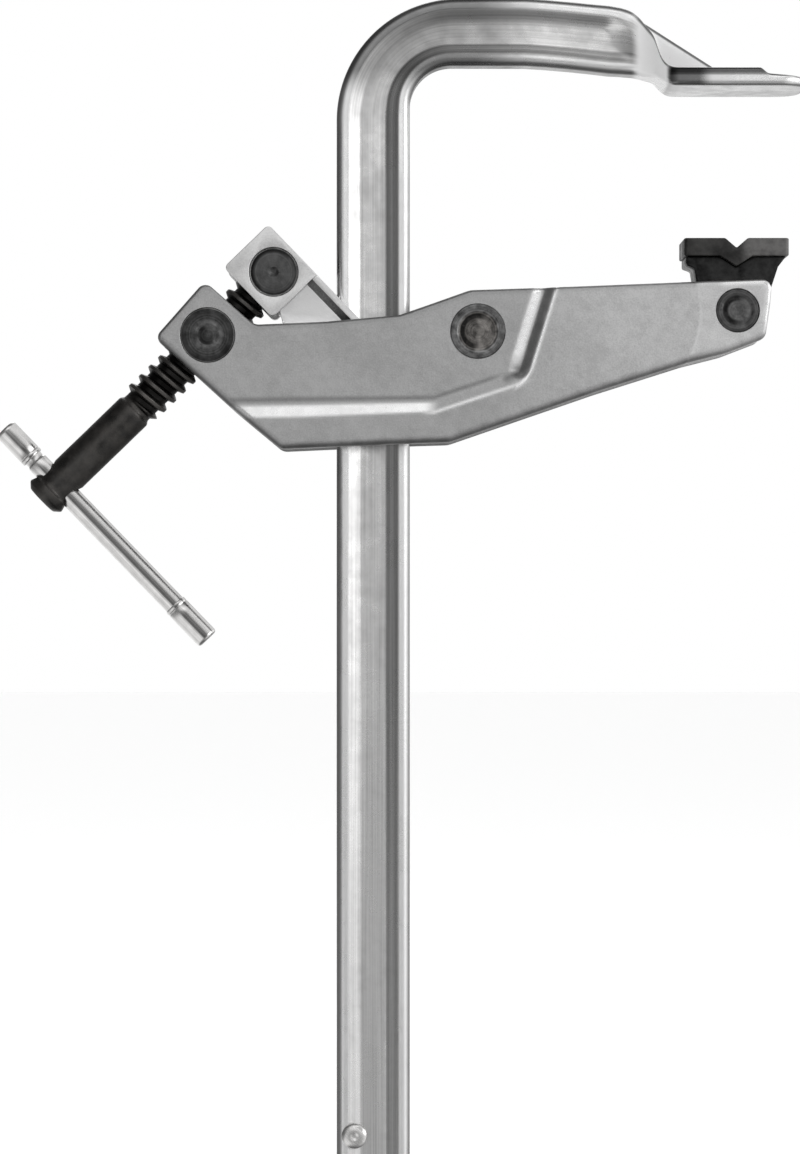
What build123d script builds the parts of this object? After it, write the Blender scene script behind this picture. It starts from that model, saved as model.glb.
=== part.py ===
from build123d import *
import math
import os

os.makedirs("parts", exist_ok=True)

# A bar clamp whose screw spreads a lever and a slide arm like scissors.
# X points to the jaw's tip, Z up along the rail and Y away from the viewer.
# The origin is the middle of the fixed jaw's clamping face. Sizes are in millimetres.

# Fixed jaw
jaw_half_length = 26.0
jaw_width = 36.0
jaw_thickness = 6.7
jaw_tip_thickness = 4.5
jaw_tip_length = 17.0
jaw_tip_slope = 2.4
jaw_tip_fall = 1.1
jaw_corner = 10.0
gusset_thickness = 5.0
gusset_rise = 18.2
gusset_length = 28.5
gusset_overlap = 10.0

# Rail: a bar with a channel in each side face, bent over at the top and forged down to the jaw
throat = 119.8
rail_width = 27.0
rail_depth = 13.0
rail_flange = 4.3
rail_slope = 4.6
rail_recess = 2.2
rail_corner = 1.8
rail_length = 387.1
rail_end_chamfer = 0.8
bend_outer_radius = 45.0
bend_inner_radius = 15.2
bend_steps = 5
arm_top = 33.7
arm_underside = 8.8

# Sections of the arm after its bend, each with its place, top and underside
arm_sections = [
    (-77.5, 33.85, 8.75),
    (-62.0, 32.6, 7.6),
    (-47.0, 31.1, 5.9),
]
# Sections of the neck: place, top, underside and half depth
neck_sections = [
    (-47.0, 31.1, 5.9, 6.5),
    (-41.0, 30.0, 5.6, 6.6),
    (-35.5, 26.7, 5.0, 7.4),
    (-30.5, 19.8, 4.1, 10.4),
    (-27.3, 10.6, 2.6, 14.2),
    (-23.0, 6.7, 0.0, 18.0),
]

# Stop pin near the rail's foot
stop_height = 12.9
stop_offset = 6.9
stop_shank_radius = 2.5
stop_head_radius = 4.7
stop_head = 2.0

# Where the linkage's axes lie
opening = 55.4
pad_height = 26.9
pivot_drop = 7.5
pivot_to_rail = 24.9
thrust_rise = 21.9
thrust_to_rail = 22.9
nut_to_thrust_x = 24.1
nut_drop = 1.4

# Slide arm
arm_clearance = 0.3
arm_face_clearance = 0.4
arm_half_width = 11.5
arm_foot = 37.6
arm_shelf = 3.3
arm_bearing = 13.8
arm_waist = 6.2
web_recess = 1.5
web_length = 21.0
rib_width = 2.4
rib_length = 36.0
hub_radius = 13.0
ear_half_width = 14.0
fork_half_gap = 8.6
fork_room = 12.7
fork_side_room = 0.6
head_front = 12.0
head_back = 10.7
head_low_side = 11.7
head_high_side = 13.9
head_corner = 2.0

# Lever halves
cheek_inner = 11.8
cheek_thickness = 6.0
lever_corner = 3.0
lever_edge = 1.6
panel_depth = 1.2
panel_slope = 4.6
panel_mouth_shift = 1.5
panel_drop = 26.6
panel_rear = 22.2
panel_rear_rise = 30.8
panel_front = 24.4
panel_front_rise = 29.4
panel_bend = 15.1
panel_end = 10.9
panel_end_rise = 11.0
groove_top_right = 23.9
groove_top_rise = 20.4
groove_foot_right = 12.3
groove_foot_drop = 17.9
groove_depth = 1.4
groove_panel_side = 3.3
groove_body_side = 3.9
box_wall = 5.0
box_from_pivot = 16.9
box_from_pad = 20.0
box_inset = 1.8

# Pins, bushes and washers
running_clearance = 0.06
pivot_radius = 10.0
pivot_proud = 0.5
bush_wall = 2.0
washer_radius = 12.8
washer_thickness = 1.1
washer_gap = 0.05
nut_radius = 10.0
nut_barrel_radius = 12.0
nut_barrel_gap = 0.2
nut_sunk = 0.2
thrust_radius = 9.0
thrust_sunk = 0.3
pad_pin_radius = 8.0
pad_pin_sunk = 0.2
pin_chamfer = 0.5
centre_mark_radius = 1.6
centre_mark_depth = 1.0

# Spindle, measured along its axis from the nut's centre
thread_radius = 8.0
thread_start = -36.6
thread_lead_in = 1.0
shank_radius = 7.1
shank_end = -38.4
shank_chamfer = 0.9
collar_radius = 8.1
collar_length = 5.2
collar_chamfer = 2.1
collar_mark_radius = 2.2
spindle_reach = 86.4
tommy_inset = 8.5
linkage_play = 0.4
nut_clearance = 0.15
journal_radius = 5.0
journal_tail = 9.0
thrust_flat = 6.5
seat_clearance = 0.2
shoulder_gap = 0.1
thrust_washer_thickness = 1.2
ring_radius = 7.0
ring_groove_radius = 4.2
ring_thickness = 1.1
ring_mouth = 3.0

# Tommy bar, measured across the spindle from its axis
tommy_radius = 4.0
tommy_hole_clearance = 0.1
tommy_short = 28.5
tommy_long = 79.7
tommy_neck_length = 2.0
tommy_neck_depth = 0.5
cap_radius = 4.35
cap_spigot_radius = 2.8
cap_end_wall = 3.0
cap_rounding = 0.7
cap_upper_length = 15.0
cap_lower_length = 17.8

# Pad
pad_width = 38.4
pad_depth = 27.0
pad_thickness = 6.5
pad_corner = 1.5
notch_width = 8.3
notch_depth = 3.6
chevron_depth = 3.9
chevron_width = 12.0
carrier_gap = 0.5
carrier_radius = 11.2
carrier_edge = 0.8
carrier_step = 15.4
carrier_skirt = 9.4

# Sizes that follow from the ones above
rail_x = -(throat + rail_width / 2)
rail_outer_x = rail_x - rail_width / 2
bend_x = rail_outer_x + bend_outer_radius
bend_z = arm_top - bend_outer_radius
inner_bend_x = bend_inner_radius - throat
inner_bend_z = arm_underside - bend_inner_radius
rail_bottom = bend_z - rail_length
neck_end = neck_sections[-1][0]
stop_x = rail_x - stop_offset
stop_z = rail_bottom + stop_height
pad_pin = Vector(0, 0, -opening - pad_height)
pivot = Vector(pivot_to_rail - throat, 0, pad_pin.Z - pivot_drop)
thrust = Vector(rail_outer_x - thrust_to_rail, 0, pivot.Z + thrust_rise)
nut = Vector(thrust.X - nut_to_thrust_x, 0, pivot.Z - nut_drop)
nut_to_thrust = (thrust - nut).length
along = (thrust - nut).normalized()
across = Vector(along.Z, 0, -along.X)
arm_bottom = pivot.Z - arm_foot
cheek_outer = cheek_inner + cheek_thickness
panel_face = cheek_outer - panel_depth
hub_face = cheek_inner - 2 * washer_gap - washer_thickness


def side_plane(depth):
    """The side view's plane, moved towards the viewer by depth."""
    return Plane.XZ.offset(depth)


def turned_plane(centre, depth=0.0):
    """The side view's plane about centre, with its X along the spindle."""
    return Plane(origin=centre, x_dir=along, z_dir=(0, -1, 0)).offset(depth)


def beside(anchor, right, up):
    """A point of the side view, right of and above anchor."""
    return (anchor.X + right, anchor.Z + up)


def flat(point):
    """A point of the side view's plane as its two coordinates there."""
    return (point.X, point.Z)


def height_at(start, end, x):
    """Height of the line from start to end at x."""
    return start[1] + (end[1] - start[1]) * (x - start[0]) / (end[0] - start[0])


def save(piece, name):
    piece.label = name
    export_step(piece, f"parts/{name}.step")


def inner_reach(turn):
    """Distance from the outer bend's centre to the bar's inner side, turn past level."""
    way_x, way_z = -math.cos(turn), math.sin(turn)
    offset_x, offset_z = bend_x - inner_bend_x, bend_z - inner_bend_z
    middle = offset_x * way_x + offset_z * way_z
    rest = offset_x**2 + offset_z**2 - bend_inner_radius**2
    reach = math.sqrt(middle**2 - rest) - middle
    if bend_z + reach * way_z < inner_bend_z:
        return (-throat - bend_x) / way_x
    if bend_x + reach * way_x > inner_bend_x:
        return (arm_underside - bend_z) / way_z
    return reach


def bar_plane(inner, outer):
    """The plane across the bar between a point of its inner and one of its outer side."""
    middle = (inner + outer) / 2
    inward = (inner - outer).normalized()
    return Plane(origin=middle, x_dir=inward, z_dir=(-inward.Z, 0, inward.X))


def rail_section(width=rail_width):
    """The rail's section: two rounded flanges, slopes and a channel in each face."""
    half_width = width / 2
    half_depth = rail_depth / 2
    channel = half_width - rail_flange
    floor = channel - rail_slope
    floor_depth = half_depth - rail_recess
    one_side = [
        (-half_width, half_depth),
        (-channel, half_depth),
        (-floor, floor_depth),
        (floor, floor_depth),
        (channel, half_depth),
        (half_width, half_depth),
    ]
    other_side = [(x, -y) for x, y in reversed(one_side)]
    with BuildSketch() as section:
        Polygon(*one_side, *other_side, align=None)
        outer = [v for v in section.vertices() if abs(v.X) > half_width - 0.01]
        fillet(outer, rail_corner)
    return section.sketch


# Rail with its bend, its arm and the forged jaw
with BuildPart() as rail:
    with BuildSketch(Plane((rail_x, 0, rail_bottom))):
        add(rail_section())
    extrude(amount=rail_length)
    foot = rail.faces().sort_by(Axis.Z)[0]
    chamfer(foot.edges(), rail_end_chamfer)
    # bend, whose outer side is not concentric with its inner one
    for step in range(bend_steps + 1):
        turn = math.pi / 2 * step / bend_steps
        spoke = Vector(-math.cos(turn), 0, math.sin(turn))
        centre = Vector(bend_x, 0, bend_z)
        inner_point = centre + spoke * inner_reach(turn)
        outer_point = centre + spoke * bend_outer_radius
        with BuildSketch(bar_plane(inner_point, outer_point)):
            add(rail_section((outer_point - inner_point).length))
    loft()
    # arm, sinking towards the jaw
    for x, top, underside in [(bend_x, arm_top, arm_underside), *arm_sections]:
        with BuildSketch(bar_plane(Vector(x, 0, underside), Vector(x, 0, top))):
            add(rail_section(top - underside))
    loft()
    # neck, flattened and spread by degrees from the rail's section to the jaw's
    for x, top, underside, half_depth in neck_sections:
        middle = (top + underside) / 2
        with BuildSketch(Plane(origin=(x, 0, middle), x_dir=(0, 1, 0), z_dir=(1, 0, 0))):
            RectangleRounded(2 * half_depth, top - underside, rail_corner)
    loft()
    step_x = jaw_half_length - jaw_tip_length
    with BuildSketch(Plane.XZ):
        with BuildLine():
            Polyline(
                (neck_end, 0),
                (jaw_half_length, 0),
                (jaw_half_length, jaw_tip_thickness - jaw_tip_fall),
                (step_x + jaw_tip_slope, jaw_tip_thickness),
                (step_x, jaw_thickness),
                (neck_end, jaw_thickness),
                close=True,
            )
        make_face()
    extrude(amount=jaw_width / 2, both=True)
    upright = rail.edges().filter_by(Axis.Z)
    fillet(upright.group_by(Axis.X)[-1], jaw_corner)
    gusset_x = neck_end - gusset_overlap
    with BuildSketch(Plane.XZ):
        with BuildLine():
            Polyline(
                (gusset_x, jaw_thickness / 2),
                (gusset_x, jaw_thickness + gusset_rise),
                (gusset_x + gusset_length, jaw_thickness),
                (gusset_x + gusset_length, jaw_thickness / 2),
                close=True,
            )
        make_face()
    extrude(amount=gusset_thickness / 2, both=True)
    with Locations(Plane(origin=(stop_x, 0, stop_z), z_dir=(0, -1, 0))):
        Hole(stop_shank_radius)
save(rail.part, "rail")

# Stop pin, with a flat domed head on each side of the rail
with BuildPart() as stop_pin:
    with BuildSketch(Plane.XZ):
        with Locations((stop_x, stop_z)):
            Circle(stop_shank_radius)
    extrude(amount=(rail_depth + stop_head) / 2, both=True)
    with BuildSketch(side_plane(rail_depth / 2)):
        with Locations((stop_x, stop_z)):
            Circle(stop_head_radius)
    extrude(amount=stop_head)
    fillet(stop_pin.faces().sort_by(Axis.Y)[0].edges(), stop_head * 0.6)
    mirror(about=Plane.XZ)
save(stop_pin.part, "stop_pin")

# Slide arm: head block with a fork, two walls past the rail, and the lever's hub
gap_outer = rail_outer_x - arm_clearance
gap_inner = -throat + arm_clearance
rail_foot_corner = Vector(rail_outer_x, 0, arm_bottom)
with BuildPart() as slide_arm:
    with BuildSketch(Plane.XZ):
        with BuildLine():
            Polyline(
                flat(thrust + along * head_back),
                flat(thrust + along * head_back + across * rib_length),
                beside(pivot, -hub_radius - 4, arm_shelf),
                beside(pivot, 4 - hub_radius, hub_radius - 2.6),
                beside(pivot, 4 - hub_radius, -hub_radius - 2.6),
                (arm_bearing - throat, arm_bottom),
                beside(rail_foot_corner, 0.8, 0),
                beside(rail_foot_corner, -arm_waist, arm_foot - 21.6),
                beside(thrust, 3.2, -head_low_side - 6.8),
                beside(thrust, 0, -6),
                close=True,
            )
        make_face()
        with Locations(flat(pivot)):
            Circle(hub_radius)
    extrude(amount=arm_half_width, both=True)
    with BuildSketch(turned_plane(thrust)):
        with BuildLine():
            Polyline(
                (-head_front, -head_low_side),
                (head_back, -head_low_side),
                (head_back, head_high_side),
                (-head_front, head_high_side),
                close=True,
            )
        make_face()
    extrude(amount=ear_half_width, both=True)
    ear_edges = slide_arm.edges().filter_by(Axis.Y)
    fillet(ear_edges.filter_by(lambda edge: edge.length > 2 * arm_half_width + 1), head_corner)
    # web sunk below the rib that runs down from the head block
    rib_floor = head_back - rib_width
    for way in (1, -1):
        with BuildSketch(turned_plane(thrust, way * arm_half_width)):
            with BuildLine():
                Polyline(
                    (rib_floor, -head_low_side),
                    (rib_floor, -head_low_side - web_length),
                    (-head_front + 4.5, -head_low_side - 9),
                    (-head_front, -head_low_side),
                    close=True,
                )
            make_face()
        extrude(amount=-way * web_recess, mode=Mode.SUBTRACT)
    # channel for the rail
    with BuildSketch(Plane.XY.offset(arm_bottom - 1)):
        with Locations(((gap_outer + gap_inner) / 2, 0)):
            Rectangle(gap_inner - gap_outer, rail_depth + 2 * arm_face_clearance)
    extrude(amount=arm_foot + thrust_rise + head_high_side, mode=Mode.SUBTRACT)
    # fork gap, open where the spindle and its journal swing
    side_room = thrust_radius + fork_side_room
    with BuildSketch(turned_plane(thrust)):
        Circle(fork_room)
        with BuildLine():
            Polyline(
                (0, -side_room),
                (fork_room, -side_room),
                (fork_room, head_high_side + 4),
                (-3 * fork_room, head_high_side + 4),
                (-3 * fork_room, -3 * side_room),
                (-thread_radius, -side_room - 1.2),
                close=True,
            )
        make_face()
    extrude(amount=fork_half_gap, both=True, mode=Mode.SUBTRACT)
    # holes for the trunnion and the bush, and a seat for each washer
    for centre, radius in (
        (thrust, thrust_radius + running_clearance),
        (pivot, pivot_radius + running_clearance + bush_wall),
    ):
        with BuildSketch(Plane.XZ):
            with Locations(flat(centre)):
                Circle(radius)
        extrude(amount=ear_half_width, both=True, mode=Mode.SUBTRACT)
    for way in (1, -1):
        with BuildSketch(side_plane(way * hub_face)):
            with Locations(flat(pivot)):
                Circle(hub_radius + 1.5)
        extrude(amount=way * arm_half_width, mode=Mode.SUBTRACT)
save(slide_arm.part, "slide_arm")

# Lever outline in the side view, clockwise from the rear corner
rear_corner = flat(nut - along * 14.7 - across * 12.8)
top_corner = flat(nut + along * 13.0 - across * 15.0)
neck_corner = flat(nut + along * 14.9 + across * 9.1)
shoulder = beside(pivot, -2.8, 15.1)
crest = beside(pivot, 34.3, 16.3)
nose_top = beside(pad_pin, 12.7, 11.7)
nose_front = beside(pad_pin, 12.0, 2.9)
nose_bottom = beside(pad_pin, 10.2, -10.0)
belly_nose = beside(pad_pin, -4.4, -15.6)
belly_front = beside(pad_pin, -19.0, -19.3)
belly_middle = beside(pivot, 43.4, -22.1)
belly_rear = beside(pivot, -10.6, -40.7)
lever_outline = [
    rear_corner,
    top_corner,
    neck_corner,
    (rail_outer_x - 3.2, pivot.Z + 3.6),
    (rail_outer_x + rail_width - 3.7, pivot.Z + 6.0),
    shoulder,
    crest,
    nose_top,
    nose_front,
    nose_bottom,
    belly_nose,
    belly_front,
    belly_middle,
    belly_rear,
    beside(pivot, -30.0, -41.3),
    beside(nut, 26.8, -41.8),
    beside(nut, 9.8, -27.7),
]
box_rear = pivot.X + box_from_pivot
box_front = pad_pin.X - box_from_pad
box_outline = [
    (box_rear, height_at(shoulder, crest, box_rear) - box_inset),
    (box_front, height_at(crest, nose_top, box_front) - box_inset),
    (box_front, height_at(belly_front, belly_middle, box_front) + box_inset),
    (belly_middle[0], belly_middle[1] + box_inset),
    (box_rear, height_at(belly_middle, belly_rear, box_rear) + box_inset),
]
# the panel's floor, and its mouth as far above the face as the floor is below it
mouth_height = 1.5 * panel_depth
mouth_drop = 1.5 * panel_slope
panel_top = [
    beside(pivot, panel_front, panel_front_rise),
    beside(nut, -panel_rear, panel_rear_rise),
]
panel_floor = [
    (nut.X - panel_rear, pivot.Z - panel_drop),
    beside(pivot, -panel_bend, -panel_drop),
    beside(pivot, panel_end, panel_end_rise - panel_drop),
]
panel_mouth = [(x + panel_mouth_shift, z - mouth_drop) for x, z in panel_floor]
groove_top = pivot + Vector(groove_top_right, 0, groove_top_rise)
groove_foot = pivot + Vector(groove_foot_right, 0, -groove_foot_drop)
with BuildPart() as lever_front_half:
    with BuildSketch(side_plane(cheek_inner)) as outline:
        with BuildLine():
            Polyline(*lever_outline, close=True)
        make_face()
        fillet(outline.vertices(), lever_corner)
    extrude(amount=cheek_thickness)
    fillet(lever_front_half.faces().sort_by(Axis.Y)[0].edges(), lever_edge)
    # box between the pivot and the pad, closed by the other half
    with BuildSketch(Plane.XZ):
        with BuildLine():
            Polyline(*box_outline, close=True)
        make_face()
        offset(amount=-box_wall, kind=Kind.INTERSECTION, mode=Mode.SUBTRACT)
    extrude(amount=cheek_inner)
    # sunk panel with a sloped lower edge, and the slanting groove beside it
    with BuildSketch(side_plane(panel_face)):
        with BuildLine():
            Polyline(*panel_floor, *panel_top, close=True)
        make_face()
    with BuildSketch(side_plane(panel_face + mouth_height)):
        with BuildLine():
            Polyline(*panel_mouth, *panel_top, close=True)
        make_face()
    loft(ruled=True, mode=Mode.SUBTRACT)
    groove_way = (groove_foot - groove_top).normalized()
    groove_side = Vector(-groove_way.Z, 0, groove_way.X)
    with BuildSketch(Plane(origin=groove_top, x_dir=groove_side, z_dir=groove_way)):
        with BuildLine():
            Polyline(
                (-groove_panel_side, panel_face),
                (0, panel_face - groove_depth),
                (groove_body_side, cheek_outer),
                (groove_body_side, cheek_outer + panel_depth),
                (-groove_panel_side, cheek_outer + panel_depth),
                close=True,
            )
        make_face()
    extrude(amount=(groove_foot - groove_top).length, mode=Mode.SUBTRACT)
    for centre, radius in (
        (pivot, pivot_radius),
        (nut, nut_radius + running_clearance),
        (pad_pin, pad_pin_radius),
    ):
        with BuildSketch(Plane.XZ):
            with Locations(flat(centre)):
                Circle(radius)
        extrude(amount=cheek_outer, mode=Mode.SUBTRACT)
save(lever_front_half.part, "lever_front_half")

with BuildPart() as lever_back_half:
    mirror(lever_front_half.part, about=Plane.XZ)
save(lever_back_half.part, "lever_back_half")


def cross_pin(centre, radius, half_length):
    """A round pin across the clamp, chamfered, with a centre mark in each end."""
    with BuildPart() as pin:
        with BuildSketch(Plane.XZ):
            with Locations(flat(centre)):
                Circle(radius)
        extrude(amount=half_length, both=True)
        chamfer(pin.faces().filter_by(Axis.Y).edges(), pin_chamfer)
        for way in (1, -1):
            with BuildSketch(side_plane(way * half_length)):
                with Locations(flat(centre)):
                    Circle(centre_mark_radius)
            extrude(amount=-way * centre_mark_depth, taper=30, mode=Mode.SUBTRACT)
    return pin.part


def ring_between(centre, outer, inner, low, high):
    """A flat ring across the clamp about centre, from depth low to depth high."""
    with BuildPart() as ring:
        with BuildSketch(side_plane(low)):
            with Locations(flat(centre)):
                Circle(outer)
                Circle(inner, mode=Mode.SUBTRACT)
        extrude(amount=high - low)
    return ring.part


save(cross_pin(pivot, pivot_radius, panel_face + pivot_proud), "pivot_rivet")
save(cross_pin(pad_pin, pad_pin_radius, cheek_outer - pad_pin_sunk), "pad_pin")
bush_bore = pivot_radius + running_clearance
bush = ring_between(pivot, bush_bore + bush_wall, bush_bore, -hub_face, hub_face)
save(bush, "pivot_bush")
washer_low = hub_face + washer_gap
washer_high = washer_low + washer_thickness
front_washer = ring_between(pivot, washer_radius, pivot_radius, washer_low, washer_high)
save(front_washer, "pivot_washer_front")
back_washer = ring_between(pivot, washer_radius, pivot_radius, -washer_high, -washer_low)
save(back_washer, "pivot_washer_back")

# Nut trunnion: a barrel between the lever's halves, with a journal in each
with BuildPart() as nut_trunnion:
    add(cross_pin(nut, nut_radius, panel_face - nut_sunk))
    with BuildSketch(Plane.XZ):
        with Locations(flat(nut)):
            Circle(nut_barrel_radius)
    extrude(amount=cheek_inner - nut_barrel_gap, both=True)
    with BuildSketch(Plane(origin=nut, z_dir=along)):
        Circle(thread_radius + linkage_play + nut_clearance)
    extrude(amount=nut_barrel_radius, both=True, mode=Mode.SUBTRACT)
save(nut_trunnion.part, "nut_trunnion")

# Thrust trunnion, with a flat seat at each end of its cross bore
with BuildPart() as thrust_trunnion:
    add(cross_pin(thrust, thrust_radius, ear_half_width - thrust_sunk))
    with BuildSketch(Plane(origin=thrust, z_dir=along)):
        Circle(journal_radius + running_clearance)
    extrude(amount=thrust_radius, both=True, mode=Mode.SUBTRACT)
    for way in (1, -1):
        seat = thrust + along * (way * thrust_flat)
        with BuildSketch(Plane(origin=seat, z_dir=along * way)):
            Circle(thread_radius + seat_clearance)
        extrude(amount=thrust_radius, mode=Mode.SUBTRACT)
save(thrust_trunnion.part, "thrust_trunnion")

# Spindle: collar, shank, thread at its outside diameter, and journal
collar_start = -spindle_reach
collar_end = collar_start + collar_length
thread_end = nut_to_thrust - thrust_flat - shoulder_gap / 2 - thrust_washer_thickness
ring_low = nut_to_thrust + thrust_flat + shoulder_gap
ring_high = ring_low + ring_thickness
journal_end = nut_to_thrust + journal_tail
spindle_profile = [
    (collar_start + collar_mark_radius / 2, 0),
    (collar_start, collar_mark_radius),
    (collar_start, collar_radius - collar_chamfer),
    (collar_start + collar_chamfer, collar_radius),
    (collar_end, collar_radius),
    (collar_end + collar_radius - shank_radius, shank_radius),
    (shank_end, shank_radius),
    (shank_end + shank_chamfer, shank_radius - shank_chamfer),
    (thread_start, shank_radius - shank_chamfer),
    (thread_start + thread_lead_in, thread_radius),
    (thread_end, thread_radius),
    (thread_end, journal_radius),
    (ring_low, journal_radius),
    (ring_low, ring_groove_radius),
    (ring_high, ring_groove_radius),
    (ring_high, journal_radius),
    (journal_end - pin_chamfer, journal_radius),
    (journal_end, journal_radius - pin_chamfer),
    (journal_end, 0),
]
tommy_centre = nut + along * (collar_start + tommy_inset)
with BuildPart() as spindle:
    with BuildSketch(turned_plane(nut)):
        with BuildLine():
            Polyline(*spindle_profile, close=True)
        make_face()
    revolve(axis=Axis(nut, along))
    with BuildSketch(Plane(origin=tommy_centre, z_dir=across)):
        Circle(tommy_radius + tommy_hole_clearance)
    extrude(amount=collar_radius, both=True, mode=Mode.SUBTRACT)
save(spindle.part, "spindle")

with BuildPart() as thrust_washer:
    with BuildSketch(Plane(origin=nut + along * thread_end, z_dir=along)):
        Circle(thread_radius - seat_clearance)
        Circle(journal_radius, mode=Mode.SUBTRACT)
    extrude(amount=thrust_washer_thickness)
save(thrust_washer.part, "thrust_washer")

with BuildPart() as retaining_ring:
    with BuildSketch(Plane(origin=nut + along * ring_low, x_dir=across, z_dir=along)):
        Circle(ring_radius)
        Circle(ring_groove_radius, mode=Mode.SUBTRACT)
        with Locations((ring_radius, 0)):
            Rectangle(2 * ring_radius, ring_mouth, mode=Mode.SUBTRACT)
    extrude(amount=ring_thickness)
save(retaining_ring.part, "retaining_ring")


def turned(profile):
    """A round piece turned about the tommy bar's axis from its half profile."""
    with BuildPart() as piece:
        with BuildSketch(Plane(origin=tommy_centre, x_dir=across, z_dir=(0, -1, 0))):
            with BuildLine():
                Polyline(*profile, close=True)
            make_face()
        revolve(axis=Axis(tommy_centre, across))
    return piece.part


# Tommy bar, with a sleeve pressed on each end
upper_face = cap_upper_length - tommy_short
lower_face = tommy_long - cap_lower_length
neck_face = upper_face + tommy_neck_length
tommy_bar = turned(
    [
        (cap_end_wall - tommy_short, 0),
        (cap_end_wall - tommy_short, cap_spigot_radius),
        (upper_face, cap_spigot_radius),
        (upper_face, tommy_radius - tommy_neck_depth),
        (neck_face, tommy_radius - tommy_neck_depth),
        (neck_face + tommy_neck_depth, tommy_radius),
        (lower_face, tommy_radius),
        (lower_face, cap_spigot_radius),
        (tommy_long - cap_end_wall, cap_spigot_radius),
        (tommy_long - cap_end_wall, 0),
    ]
)
save(tommy_bar, "tommy_bar")


def tommy_cap(face, end):
    """The sleeve from its inner face to the bar's end."""
    way = math.copysign(1, end)
    lip = cap_radius - tommy_radius
    return turned(
        [
            (end, 0),
            (end, cap_radius - cap_rounding),
            (end - way * cap_rounding, cap_radius),
            (face + way * lip, cap_radius),
            (face, tommy_radius),
            (face, cap_spigot_radius),
            (end - way * cap_end_wall, cap_spigot_radius),
            (end - way * cap_end_wall, 0),
        ]
    )


save(tommy_cap(upper_face, -tommy_short), "tommy_cap_upper")
save(tommy_cap(lower_face, tommy_long), "tommy_cap_lower")

# Pad: a plate with a groove for round work, on a saddle whose tang is on the pad pin
half_pad = pad_width / 2
half_notch = notch_width / 2
half_chevron = chevron_width / 2
plate_bottom = pad_height - pad_thickness
with BuildPart() as pad_plate:
    with BuildSketch(Plane.XZ):
        with BuildLine():
            Polyline(
                beside(pad_pin, -half_pad, plate_bottom),
                beside(pad_pin, -half_pad, pad_height),
                beside(pad_pin, -half_notch, pad_height),
                beside(pad_pin, 0, pad_height - notch_depth),
                beside(pad_pin, half_notch, pad_height),
                beside(pad_pin, half_pad, pad_height),
                beside(pad_pin, half_pad, plate_bottom),
                beside(pad_pin, half_chevron, plate_bottom),
                beside(pad_pin, 0, plate_bottom - chevron_depth),
                beside(pad_pin, -half_chevron, plate_bottom),
                close=True,
            )
        make_face()
    extrude(amount=pad_depth / 2, both=True)
    plate_ends = pad_plate.faces().filter_by(Axis.X)
    fillet(plate_ends.edges().filter_by(Axis.Z), pad_corner)
save(pad_plate.part, "pad_plate")

skirt = plate_bottom - carrier_skirt
with BuildPart() as pad_carrier:
    with BuildSketch(Plane.XZ):
        with BuildLine():
            Polyline(
                beside(pad_pin, carrier_edge - half_pad, plate_bottom),
                beside(pad_pin, -half_chevron, plate_bottom),
                beside(pad_pin, 0, plate_bottom - chevron_depth),
                beside(pad_pin, half_chevron, plate_bottom),
                beside(pad_pin, half_pad - carrier_edge, plate_bottom),
                beside(pad_pin, carrier_step, plate_bottom - chevron_depth),
                beside(pad_pin, carrier_step - 1.8, skirt),
                beside(pad_pin, carrier_radius, 4),
                beside(pad_pin, carrier_radius, 0),
                beside(pad_pin, -carrier_radius, 0),
                beside(pad_pin, -carrier_radius, 4),
                beside(pad_pin, 0.8 - carrier_step, skirt),
                beside(pad_pin, -carrier_step, plate_bottom - chevron_depth - 0.4),
                beside(pad_pin, carrier_edge - half_pad, plate_bottom - chevron_depth + 0.7),
                close=True,
            )
        make_face()
        with Locations(flat(pad_pin)):
            Circle(carrier_radius)
            Circle(pad_pin_radius + running_clearance, mode=Mode.SUBTRACT)
    extrude(amount=cheek_inner - carrier_gap, both=True)
save(pad_carrier.part, "pad_carrier")
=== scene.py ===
import math

import bmesh
import bpy
import numpy as np
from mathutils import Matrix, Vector, geometry, noise


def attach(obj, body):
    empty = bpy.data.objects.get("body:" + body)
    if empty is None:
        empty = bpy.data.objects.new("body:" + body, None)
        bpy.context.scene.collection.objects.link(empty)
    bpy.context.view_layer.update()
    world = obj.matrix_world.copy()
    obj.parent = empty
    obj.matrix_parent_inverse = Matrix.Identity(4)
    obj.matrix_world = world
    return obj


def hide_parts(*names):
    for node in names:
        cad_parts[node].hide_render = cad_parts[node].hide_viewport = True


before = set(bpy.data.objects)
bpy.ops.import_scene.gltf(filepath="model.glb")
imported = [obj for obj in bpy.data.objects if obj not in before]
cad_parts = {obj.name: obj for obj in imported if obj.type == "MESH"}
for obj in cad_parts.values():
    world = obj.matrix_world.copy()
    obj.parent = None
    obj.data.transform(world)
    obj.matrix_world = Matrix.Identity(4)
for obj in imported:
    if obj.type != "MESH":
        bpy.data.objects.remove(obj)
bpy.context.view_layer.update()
print("frame loaded:", len(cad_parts), "nodes")

# Lengths in the dictionaries are millimetres; meshes are made in metres
millimetre = 0.001

# where the clamp's axes lie in the side view, right and up from the fixed jaw's face
layout = {
    "railOuter": -146.8,
    "railInner": -119.8,
    "railFoot": -398.4,
    "pivot": Vector((-94.9, -89.8)),
    "nut": Vector((-193.8, -91.2)),
    "thrust": Vector((-169.7, -67.9)),
    "padPin": Vector((0.0, -82.3)),
    "cheekInner": 11.8,
    "panelFace": 16.6,
}
along = (layout["thrust"] - layout["nut"]).normalized()
across = Vector((along.y, -along.x))


def beside(anchor, right, up):
    return anchor + Vector((right, up))


def turnedFrom(anchor, ahead, aside):
    # a point ahead along the screw and aside from it, towards its lower right
    return anchor + along * ahead + across * aside


def inSpace(point, depth):
    # a point of the side view, at a depth towards the viewer
    return Vector((point[0], -depth, point[1]))


# meshes
def newObject(name, data):
    item = bpy.data.objects.new(name, data)
    bpy.context.scene.collection.objects.link(item)
    return item


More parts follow.
